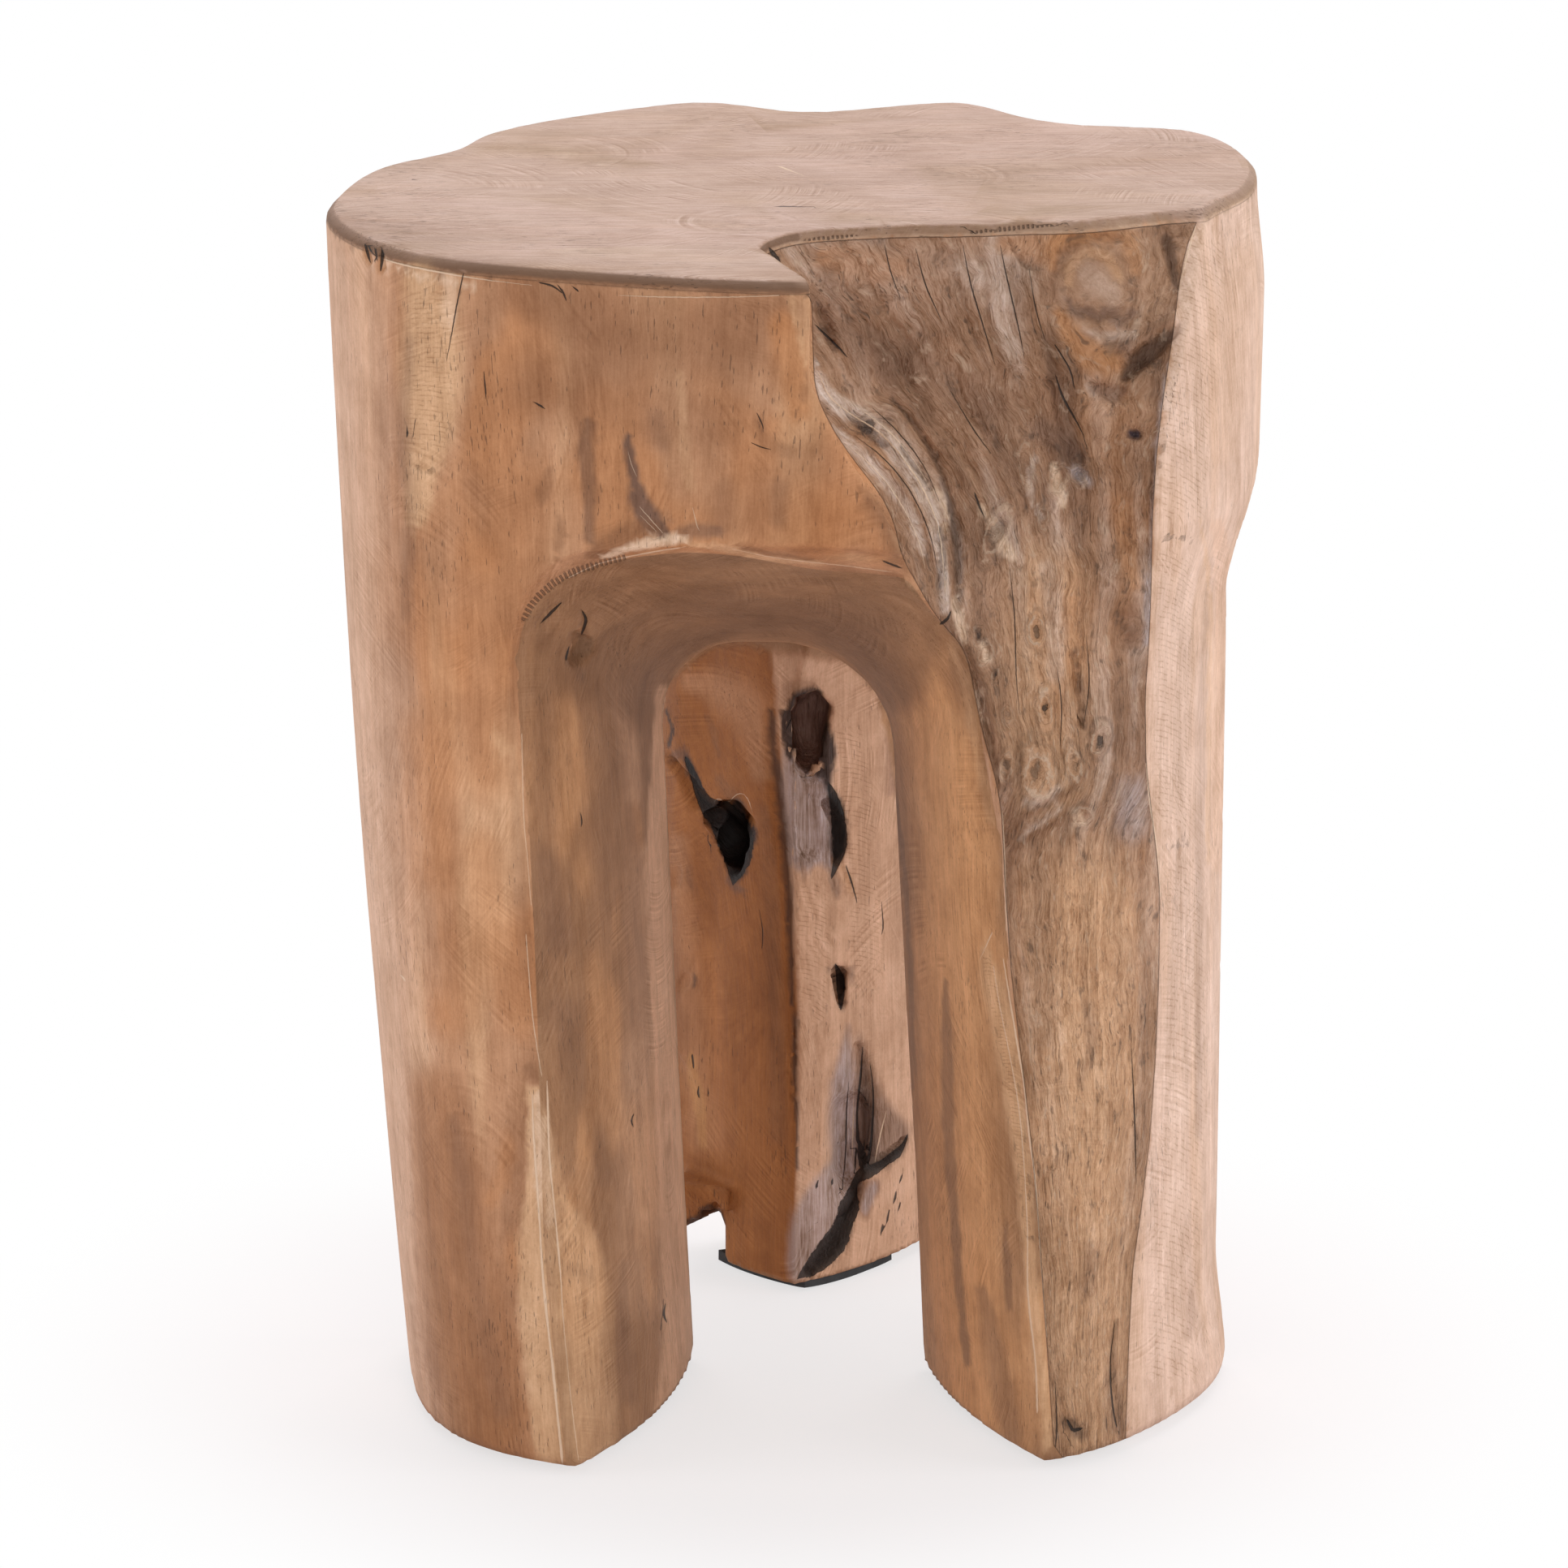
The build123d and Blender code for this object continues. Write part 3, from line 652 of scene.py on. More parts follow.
# Painting strokes by zone: colour, strength, softness, then points (u, v, half width) in pixels
painting = {
    "bark": [
        ("stripWarm", 0.45, 0.9, [(1530, 320, 26), (1515, 400, 34), (1510, 480, 30), (1505, 560, 16)]),
        # soft dark line down the fold where the lobe turns away: painted shade
        ("stain", 0.22, 0.7, [
            (1492, 690, 5), (1486, 760, 6), (1482, 860, 6), (1479, 1000, 6), (1477, 1200, 5), (1476, 1400, 5),
        ]),
        # the facet right of the fold painted a little darker and pinker, as a plane turned away from the light: painted
        # shade
        ("edgePink", 0.55, 0.4, [(1500, 648, 9), (1508, 700, 13), (1512, 780, 17), (1510, 900, 19), (1508, 1060, 20)]),
        ("barkPale", 0.4, 0.5, [(1478, 640, 2), (1487, 690, 3), (1491, 760, 3), (1490, 900, 3), (1488, 1060, 3)]),
        ("umber", 0.25, 0.7, [(1466, 1590, 4), (1468, 1620, 7), (1464, 1650, 4)]),
        ("barkBrown", 0.6, 0.9, [(530, 1350, 40), (550, 1500, 56), (570, 1650, 60), (600, 1760, 60)]),
        ("stain", 0.38, 0.95, [(556, 1390, 14), (566, 1470, 26), (576, 1580, 26), (590, 1680, 26), (600, 1740, 22)]),
        ("barkBrown", 0.75, 0.7, [(640, 360, 30), (760, 400, 60), (880, 410, 60), (960, 390, 30)]),
        ("barkBrown", 0.55, 0.8, [(660, 470, 50), (780, 490, 50), (880, 520, 50)]),
        ("barkBrown", 0.5, 0.8, [(1000, 580, 50), (950, 620, 50), (900, 640, 40)]),
        ("barkPale", 0.75, 0.5, [
            (518, 345, 24), (530, 400, 36), (532, 470, 42), (530, 520, 34), (520, 580, 22), (512, 640, 14),
        ]),
        ("cream", 0.35, 0.3, [(556, 345, 9), (552, 395, 10)]),
        ("barkOrange", 0.45, 0.8, [(640, 600, 50), (620, 700, 60), (600, 800, 50), (600, 950, 40)]),
        ("barkOrange", 0.7, 0.7, [(965, 400, 20), (975, 450, 24), (985, 505, 18)]),
        ("barkOrange", 0.5, 0.8, [(1000, 640, 60), (1060, 650, 40), (1090, 680, 16)]),
        ("umber", 0.35, 0.7, [(1070, 620, 10), (1092, 660, 14), (1100, 690, 10)]),
        ("barkOrange", 0.4, 0.8, [(590, 1050, 30), (600, 1150, 36), (560, 1250, 34)]),
        ("stain", 0.3, 0.8, [(505, 420, 8), (500, 520, 10), (505, 620, 10), (500, 760, 8)]),
        ("stain", 0.62, 0.45, [(724, 520, 7), (722, 560, 11), (727, 600, 11), (728, 640, 9), (726, 668, 5)]),
        ("purple", 0.85, 0.4, [
            (773, 538, 5), (776, 562, 7), (782, 590, 8), (788, 618, 14), (803, 642, 16), (820, 660, 7),
        ]),
        ("umber", 0.62, 0.5, [(806, 652, 12), (780, 655, 16), (756, 668, 16), (728, 682, 8)]),
        ("purple", 0.5, 0.5, [(840, 655, 8), (860, 652, 10), (885, 655, 8)]),
        ("umber", 0.42, 0.5, [(677, 580, 7), (673, 600, 10), (668, 615, 8)]),
        ("umber", 0.42, 0.5, [(691, 636, 5), (690, 660, 8), (688, 688, 6)]),
        ("stain", 0.3, 0.6, [(808, 515, 12), (815, 545, 14)]),
        ("umber", 0.4, 0.7, [(935, 520, 8), (945, 545, 12), (975, 556, 10)]),
        ("stain", 0.3, 0.7, [(960, 600, 14), (958, 640, 12)]),
        ("stain", 0.25, 0.8, [(895, 600, 14), (890, 650, 12)]),
        ("umber", 0.35, 0.7, [(993, 460, 4), (990, 490, 8)]),
        ("barkPale", 0.3, 0.7, [(838, 460, 6), (842, 540, 8), (850, 600, 8)]),
        ("barkPale", 0.45, 0.6, [(975, 368, 5), (984, 410, 4), (992, 450, 3)]),
        ("cream", 0.85, 0.35, [(742, 686, 2), (775, 676, 5), (800, 670, 7), (832, 664, 5), (850, 668, 3)]),
        ("barkPale", 0.5, 0.5, [(850, 670, 4), (900, 678, 5), (960, 690, 4), (1010, 694, 3)]),
        ("umber", 0.45, 0.6, [(1062, 604, 6), (1086, 632, 9), (1104, 668, 12), (1116, 700, 8)]),
        ("umber", 0.5, 0.5, [(905, 672, 2), (950, 682, 3), (1000, 690, 3)]),
        ("umber", 0.25, 0.7, [(632, 800, 6), (630, 900, 8), (636, 1000, 8), (642, 1090, 12), (648, 1200, 8)]),
        ("barkPale", 0.35, 0.6, [(612, 905, 8), (620, 925, 10)]),
        ("barkBrown", 0.5, 0.7, [
            (560, 1330, 8), (575, 1400, 14), (586, 1470, 16), (600, 1560, 14), (618, 1640, 20), (632, 1720, 18),
        ]),
        ("umber", 0.28, 0.7, [(520, 1380, 12), (532, 1480, 12), (540, 1600, 12), (546, 1690, 18)]),
        ("umber", 0.35, 0.8, [(560, 1640, 40), (590, 1700, 60), (600, 1770, 60)]),
        ("barkOrange", 0.4, 0.8, [(530, 1340, 30), (552, 1480, 50), (570, 1640, 50), (590, 1760, 50)]),
        ("umber", 0.2, 0.9, [(530, 1340, 30), (552, 1480, 50), (570, 1640, 50), (590, 1760, 50)]),
        ("umber", 0.12, 0.9, [(760, 430, 50), (900, 450, 60)]),
        ("stain", 0.32, 0.8, [(560, 1380, 9), (572, 1460, 15), (586, 1560, 13), (602, 1660, 18), (620, 1740, 14)]),
        ("barkOrange", 0.4, 0.6, [(628, 1400, 8), (622, 1440, 12), (606, 1480, 10)]),
        ("barkPale", 0.72, 0.3, [
            (658, 1345, 8), (660, 1400, 11), (662, 1460, 15), (663, 1520, 24), (662, 1600, 25), (668, 1690, 22),
            (678, 1790, 20),
        ]),
        ("umber", 0.5, 0.5, [(652, 1316, 8), (662, 1326, 10), (672, 1320, 6)]),
        ("cream", 0.6, 0.4, [(664, 1350, 6), (665, 1385, 9), (667, 1430, 9), (670, 1470, 7), (673, 1510, 4)]),
        # pale pink along the left silhouette: partly the wood's tone, partly a painted highlight
        ("edgePink", 0.55, 0.6, [
            (418, 320, 10), (426, 500, 12), (436, 700, 12), (452, 900, 13), (472, 1100, 14), (488, 1300, 12),
            (498, 1450, 11), (506, 1600, 8),
        ]),
        # pale line along the seat's edge: painted highlight
        ("cream", 0.55, 0.4, [(474, 324, 3), (500, 334, 5), (540, 344, 4), (590, 353, 2)]),
    ],
    "arch": [
        ("cream", 0.5, 0.4, [(670, 1380, 6), (672, 1430, 7), (676, 1470, 6), (680, 1510, 4)]),
        ("barkPale", 0.35, 0.6, [(690, 1480, 8), (715, 1540, 18), (722, 1600, 22), (720, 1700, 24), (715, 1780, 14)]),
        ("umber", 0.4, 0.6, [(688, 1485, 7), (692, 1490, 6)]),
        ("stain", 0.3, 0.7, [(700, 1565, 10), (728, 1572, 10)]),
        ("stain", 0.35, 0.8, [(770, 1560, 8), (768, 1640, 10), (775, 1720, 12)]),
        ("archPale", 0.8, 0.35, [
            (816, 850, 8), (812, 960, 12), (810, 1060, 15), (814, 1160, 16), (819, 1260, 16), (826, 1400, 18),
            (832, 1560, 20), (836, 1660, 22), (826, 1760, 22), (820, 1810, 20),
        ]),
        ("archPale", 0.3, 0.8, [(800, 1060, 26), (804, 1260, 34), (810, 1500, 40)]),
        # dark band where the ceiling meets the rear leg's inner faces: painted shade
        ("archDark", 0.4, 0.6, [
            (830, 838, 12), (862, 806, 14), (900, 786, 14), (940, 788, 14), (985, 800, 14), (1040, 806, 14),
            (1072, 832, 14), (1094, 870, 12),
        ]),
        # dark line along the seam between the rear leg and the front-right reveal: painted shadow
        ("purple", 0.65, 0.4, [
            (1084, 880, 2), (1096, 945, 3), (1107, 1010, 3), (1117, 1100, 3.4), (1122, 1200, 3.4), (1126, 1340, 3),
        ]),
        ("archPale", 0.35, 0.9, [(760, 860, 20), (775, 900, 16), (780, 980, 12)]),
        ("archPale", 0.3, 0.9, [(790, 1300, 30), (780, 1450, 30), (790, 1600, 30)]),
        ("umber", 0.55, 0.8, [(668, 790, 14), (690, 800, 24), (690, 830, 24)]),
        ("stain", 0.45, 0.8, [(670, 860, 22), (668, 960, 22), (672, 1060, 22), (690, 1160, 22)]),
        ("stain", 0.3, 0.8, [(700, 1250, 30), (730, 1350, 24), (745, 1450, 14)]),
        # the pit in the arch painted near black: painted shade
        ("black", 0.85, 0.35, [(716, 784, 6), (720, 796, 12), (708, 811, 9)]),
        ("purple", 0.6, 0.7, [(706, 818, 8), (716, 834, 9)]),
        ("char", 0.7, 0.4, [(717, 750, 1.2), (722, 764, 2.6), (720, 780, 3.2)]),
        ("char", 0.55, 0.5, [(694, 742, 2), (678, 752, 3), (666, 768, 2.5)]),
        ("char", 0.5, 0.5, [(702, 798, 2), (696, 812, 2.6)]),
        # the front-right reveal painted warmer and lighter: painted light from the left and off the floor
        ("archWarm", 0.9, 0.7, [
            (1130, 800, 20), (1150, 900, 46), (1170, 1020, 50), (1175, 1200, 50), (1180, 1400, 55), (1190, 1600, 60),
            (1200, 1740, 60),
        ]),
        # top of the front-right reveal painted lighter: painted light
        ("archWarm", 0.4, 0.7, [(1100, 800, 26), (1120, 840, 20)]),
        ("barkPale", 0.18, 0.9, [(1140, 900, 36), (1160, 1100, 46), (1175, 1300, 50), (1185, 1500, 50)]),
        ("barkPale", 0.35, 0.5, [(1172, 790, 5), (1190, 850, 6), (1205, 930, 7), (1222, 1010, 6)]),
        ("stain", 0.6, 0.55, [
            (1165, 1210, 4), (1167, 1300, 9), (1170, 1420, 8), (1178, 1520, 7), (1183, 1600, 6), (1192, 1680, 5),
        ]),
        ("stain", 0.55, 0.6, [(1238, 1500, 2), (1241, 1560, 6), (1243, 1610, 5)]),
        ("purple", 0.4, 0.7, [(1210, 1590, 8), (1222, 1650, 14), (1236, 1720, 18), (1246, 1770, 14)]),
        # pale strip on the sanded chamfer of the front-right reveal's edge: paler wood and a painted highlight
        ("barkPale", 0.72, 0.45, [
            (1212, 1170, 6), (1222, 1210, 14), (1238, 1270, 17), (1250, 1340, 16), (1259, 1420, 13), (1266, 1520, 9),
            (1274, 1620, 8), (1284, 1710, 8), (1290, 1780, 7),
        ]),
    ],
    "rear": [
        ("bark", 0.55, 0.9, [(850, 840, 14), (890, 850, 28), (925, 880, 28), (940, 950, 16)]),
        ("bark", 0.45, 0.9, [(836, 1040, 14), (840, 1110, 18), (846, 1200, 22), (854, 1300, 24), (866, 1400, 24)]),
        ("barkOrange", 0.2, 0.8, [(848, 1110, 12), (870, 1180, 20), (880, 1300, 22), (875, 1420, 20)]),
        ("umber", 0.45, 0.6, [(885, 930, 4), (878, 900, 5), (872, 885, 4)]),
        ("umber", 0.4, 0.8, [(940, 1000, 10), (950, 1100, 12), (955, 1250, 12), (958, 1400, 10)]),
        ("purple", 0.6, 0.6, [(826, 934, 5), (840, 928, 8), (850, 942, 4)]),
        ("char", 0.85, 0.3, [(820, 876, 1.5), (828, 900, 2.5), (824, 920, 2)]),
        ("umber", 0.5, 0.6, [(885, 960, 6), (905, 985, 8), (915, 1000, 5)]),
        ("purple", 0.6, 0.6, [(898, 1084, 5), (908, 1094, 7), (916, 1096, 4)]),
        # dark band along the left of the rear leg's ridge: painted shadow
        ("char", 0.75, 0.6, [
            (950, 872, 3), (953, 920, 6), (961, 975, 7), (969, 1050, 7), (973, 1150, 5), (978, 1250, 3),
            (981, 1360, 2.5), (981, 1440, 2.5),
        ]),
        ("purple", 0.7, 0.5, [(1012, 960, 6), (1020, 990, 7), (1022, 1040, 6), (1022, 1066, 5)]),
        ("purple", 0.55, 0.6, [(1024, 1066, 7), (1028, 1088, 7), (1032, 1104, 4)]),
        ("golden", 0.4, 0.6, [(1038, 1070, 3), (1048, 1095, 4), (1056, 1110, 3)]),
        ("purple", 0.5, 0.6, [(1018, 1194, 3), (1046, 1196, 4), (1048, 1214, 4)]),
        ("golden", 0.55, 0.6, [(850, 1302, 5), (858, 1340, 9), (864, 1378, 7), (866, 1410, 5)]),
        ("umber", 0.5, 0.6, [(850, 1070, 4), (852, 1092, 4)]),
        ("char", 0.65, 0.5, [(858, 1202, 3), (855, 1216, 3)]),
        ("char", 0.8, 0.6, [(846, 1506, 5), (862, 1502, 6), (873, 1488, 5), (884, 1494, 5), (893, 1508, 4)]),
        ("greyWood", 0.55, 0.5, [
            (1094, 890, 2.5), (1102, 950, 3), (1111, 1010, 3.5), (1118, 1100, 3.5), (1123, 1200, 3.5), (1126, 1340, 3),
        ]),
    ],
    "flank": [
        ("orange", 0.62, 0.7, [(1015, 315, 14), (1045, 320, 26), (1085, 330, 24), (1110, 330, 14)]),
        ("orange", 0.65, 0.6, [(1240, 300, 14), (1275, 305, 24), (1310, 292, 20), (1345, 288, 12)]),
        ("orange", 0.55, 0.7, [(1390, 295, 14), (1400, 330, 12)]),
        ("orange", 0.72, 0.6, [(1305, 385, 8), (1318, 410, 14), (1345, 440, 18), (1375, 448, 14)]),
        ("silk", 0.25, 0.9, [(1335, 330, 18), (1356, 352, 22), (1370, 366, 12)]),
        ("silk", 0.3, 0.8, [(1190, 330, 18), (1240, 380, 22), (1250, 430, 18)]),
        ("flankDark", 0.65, 0.6, [(1006, 370, 6), (1018, 398, 10), (1030, 425, 8)]),
        ("flankDark", 0.45, 0.8, [(1100, 420, 34), (1150, 460, 34), (1210, 500, 34)]),
        ("orange", 0.25, 0.9, [(1060, 330, 30), (1100, 340, 40), (1150, 350, 30)]),
        ("silk", 0.22, 1.0, [(1060, 330, 40), (1150, 340, 50), (1240, 340, 40)]),
        ("char", 0.62, 0.5, [(1455, 403, 3), (1430, 422, 11), (1402, 446, 14), (1386, 464, 9)]),
        ("char", 0.5, 0.5, [(1437, 295, 8), (1443, 325, 7), (1449, 356, 3)]),
        ("purple", 0.6, 0.5, [
            (1318, 372, 4), (1328, 388, 6), (1338, 382, 7), (1352, 390, 6), (1366, 382, 7), (1378, 396, 8),
            (1396, 384, 5),
        ]),
        ("umber", 0.5, 0.5, [(1300, 372, 4), (1296, 346, 5), (1304, 318, 5), (1324, 300, 4)]),
        ("umber", 0.45, 0.5, [(1398, 362, 3), (1404, 338, 5), (1396, 312, 4)]),
        ("flankLow", 0.5, 0.6, [(1316, 350, 5), (1322, 326, 8), (1342, 312, 8), (1366, 318, 8), (1380, 340, 6)]),
        ("orange", 0.6, 0.6, [(1296, 330, 6), (1300, 300, 10), (1330, 286, 12), (1368, 290, 12)]),
        ("silk", 0.4, 0.6, [(1340, 412, 6), (1372, 415, 8), (1398, 410, 5)]),
        ("purple", 0.5, 0.7, [(1345, 476, 8), (1370, 484, 13), (1385, 480, 6)]),
        ("silk", 0.35, 0.6, [(1338, 466, 4), (1344, 486, 5)]),
        ("flankDark", 0.75, 0.7, [(1286, 415, 6), (1300, 465, 9), (1311, 515, 12), (1322, 560, 13), (1330, 585, 8)]),
        ("umber", 0.35, 0.8, [(1290, 470, 10), (1300, 530, 14), (1300, 560, 10)]),
        ("flankDark", 0.55, 0.8, [(1020, 340, 14), (1040, 400, 22), (1080, 440, 26), (1120, 450, 20)]),
        ("orange", 0.45, 0.8, [(1380, 620, 14), (1390, 680, 12), (1400, 720, 8)]),
        ("flankLow", 0.55, 0.9, [(1290, 720, 50), (1290, 800, 60), (1290, 900, 60), (1300, 960, 50)]),
        ("orange", 0.3, 0.9, [(1310, 700, 22), (1320, 800, 20), (1300, 880, 14)]),
        ("ink", 0.85, 0.5, [(1392, 534, 5), (1400, 536, 6)]),
        ("purple", 0.45, 0.7, [(1285, 530, 18), (1320, 560, 20)]),
        ("cream", 0.8, 0.5, [(1298, 572, 5), (1303, 590, 7), (1308, 608, 8), (1310, 622, 4)]),
        ("blueGrey", 0.65, 0.5, [(1325, 582, 8), (1340, 594, 8)]),
        ("blueGrey", 0.6, 0.5, [
            (1444, 455, 6), (1434, 520, 8), (1426, 580, 6), (1421, 650, 5), (1416, 720, 5), (1412, 790, 5),
        ]),
        # pale along the rolled lip: silvery weathered wood and a painted highlight on the rounded edge
        ("silk", 0.75, 0.5, [
            (1006, 450, 4), (1014, 478, 9), (1035, 500, 12), (1072, 520, 12), (1105, 555, 14), (1132, 595, 13),
            (1152, 640, 11), (1162, 700, 8), (1165, 750, 7),
        ]),
        ("silk", 0.6, 0.5, [(1028, 530, 5), (1060, 560, 9), (1092, 592, 9), (1120, 630, 8), (1138, 680, 6)]),
        ("flank", 0.6, 0.5, [(1012, 520, 5), (1045, 560, 7), (1080, 605, 8), (1104, 650, 8), (1122, 700, 7)]),
        ("char", 0.62, 0.5, [(1046, 510, 4), (1064, 526, 9), (1088, 547, 5)]),
        ("char", 0.5, 0.6, [
            (1100, 492, 2), (1125, 520, 3.5), (1150, 560, 3.5), (1168, 605, 5), (1176, 650, 6), (1182, 700, 7),
            (1180, 750, 5),
        ]),
        ("char", 0.5, 0.6, [(1110, 552, 2), (1130, 578, 3.5), (1146, 602, 2.5)]),
        ("char", 0.55, 0.5, [(1160, 650, 2), (1160, 690, 4), (1157, 725, 2)]),
        ("cream", 0.55, 0.5, [(1152, 600, 3), (1164, 625, 4), (1165, 655, 3)]),
        ("cream", 0.55, 0.5, [(1176, 740, 5), (1182, 765, 7), (1188, 790, 4)]),
        ("cream", 0.65, 0.5, [(1210, 625, 4), (1220, 640, 6), (1232, 665, 9), (1246, 688, 6)]),
        ("umber", 0.45, 0.5, [(1218, 640, 3), (1225, 655, 3)]),
        ("silk", 0.55, 0.5, [(1275, 560, 3), (1268, 600, 4), (1284, 640, 4)]),
        ("char", 0.7, 0.5, [(1202, 772, 3), (1206, 790, 4)]),
        ("cream", 0.7, 0.5, [(1212, 792, 4), (1216, 812, 5)]),
        ("char", 0.65, 0.5, [(1225, 822, 3.5), (1226, 832, 3.5)]),
        ("cream", 0.5, 0.5, [(1203, 855, 3), (1208, 885, 3)]),
        ("umber", 0.5, 0.6, [(1222, 925, 5), (1234, 955, 6), (1250, 965, 6)]),
        ("cream", 0.6, 0.5, [(1236, 940, 3), (1233, 960, 3)]),
        ("silk", 0.35, 0.7, [(1290, 700, 12), (1300, 760, 14), (1300, 830, 12)]),
        ("char", 0.5, 0.6, [(1323, 800, 3), (1331, 850, 3.5), (1335, 895, 2.5)]),
        ("umber", 0.55, 0.7, [(1392, 758, 14), (1396, 785, 16)]),
        ("cream", 0.65, 0.5, [(1325, 1000, 4), (1330, 1014, 8), (1322, 1020, 5)]),
        ("silk", 0.45, 0.6, [(1265, 990, 6), (1290, 985, 8), (1305, 970, 6)]),
        ("umber", 0.65, 0.5, [(1252, 1016, 4), (1276, 998, 5), (1304, 982, 5), (1330, 962, 4), (1342, 946, 2)]),
        ("umber", 0.6, 0.5, [(1250, 1046, 3), (1272, 1030, 4), (1298, 1014, 4), (1314, 998, 3)]),
        ("umber", 0.6, 0.5, [(1286, 1064, 4), (1308, 1042, 5), (1330, 1014, 4), (1344, 986, 2)]),
        ("silk", 0.45, 0.5, [(1256, 1034, 3), (1280, 1016, 3), (1306, 996, 3)]),
        ("umber", 0.45, 0.6, [(1252, 1090, 4), (1270, 1070, 6), (1284, 1046, 4)]),
        ("flankDark", 0.5, 0.7, [(1340, 985, 6), (1320, 1010, 6), (1300, 1060, 5)]),
        ("blueGrey", 0.45, 0.8, [(1395, 975, 22), (1395, 1020, 22)]),
        ("flankLow", 0.8, 0.9, [
            (1330, 1120, 90), (1330, 1250, 100), (1335, 1450, 90), (1340, 1650, 80), (1340, 1780, 60),
        ]),
        ("flankDark", 0.3, 0.8, [(1285, 1080, 18), (1285, 1180, 22), (1290, 1280, 16)]),
        ("stain", 0.35, 0.7, [(1340, 1240, 10), (1345, 1290, 10), (1332, 1330, 6)]),
        ("flankDark", 0.35, 0.8, [(1405, 1080, 12), (1412, 1200, 14), (1410, 1320, 12), (1402, 1430, 8)]),
        ("stain", 0.3, 0.8, [(1345, 1540, 14), (1340, 1590, 14)]),
        ("char", 0.6, 0.5, [(1312, 1750, 6), (1322, 1758, 9), (1334, 1768, 6)]),
        ("stain", 0.45, 0.6, [(1376, 1625, 3), (1370, 1690, 8), (1378, 1760, 10)]),
    ],
    "seat": [
        ("seatBrown", 0.65, 0.8, [(600, 178, 6), (680, 188, 12), (760, 198, 12), (800, 205, 6)]),
        ("seatBrown", 0.6, 0.8, [(600, 262, 8), (720, 270, 14), (850, 285, 12), (900, 296, 8)]),
        ("seatBrown", 0.6, 0.8, [(1000, 270, 8), (1150, 258, 12), (1260, 262, 12), (1320, 258, 6)]),
        ("seatBrown", 0.55, 0.8, [(1040, 212, 8), (1160, 218, 12), (1300, 228, 10)]),
        ("seatBrown", 0.6, 0.8, [(900, 160, 6), (1050, 150, 6), (1160, 148, 6)]),
        ("stain", 0.65, 0.5, [(712, 216, 2), (728, 217, 4), (744, 216, 2)]),
        ("cream", 0.2, 0.9, [(700, 300, 10), (800, 315, 8), (900, 330, 6)]),
    ],
}

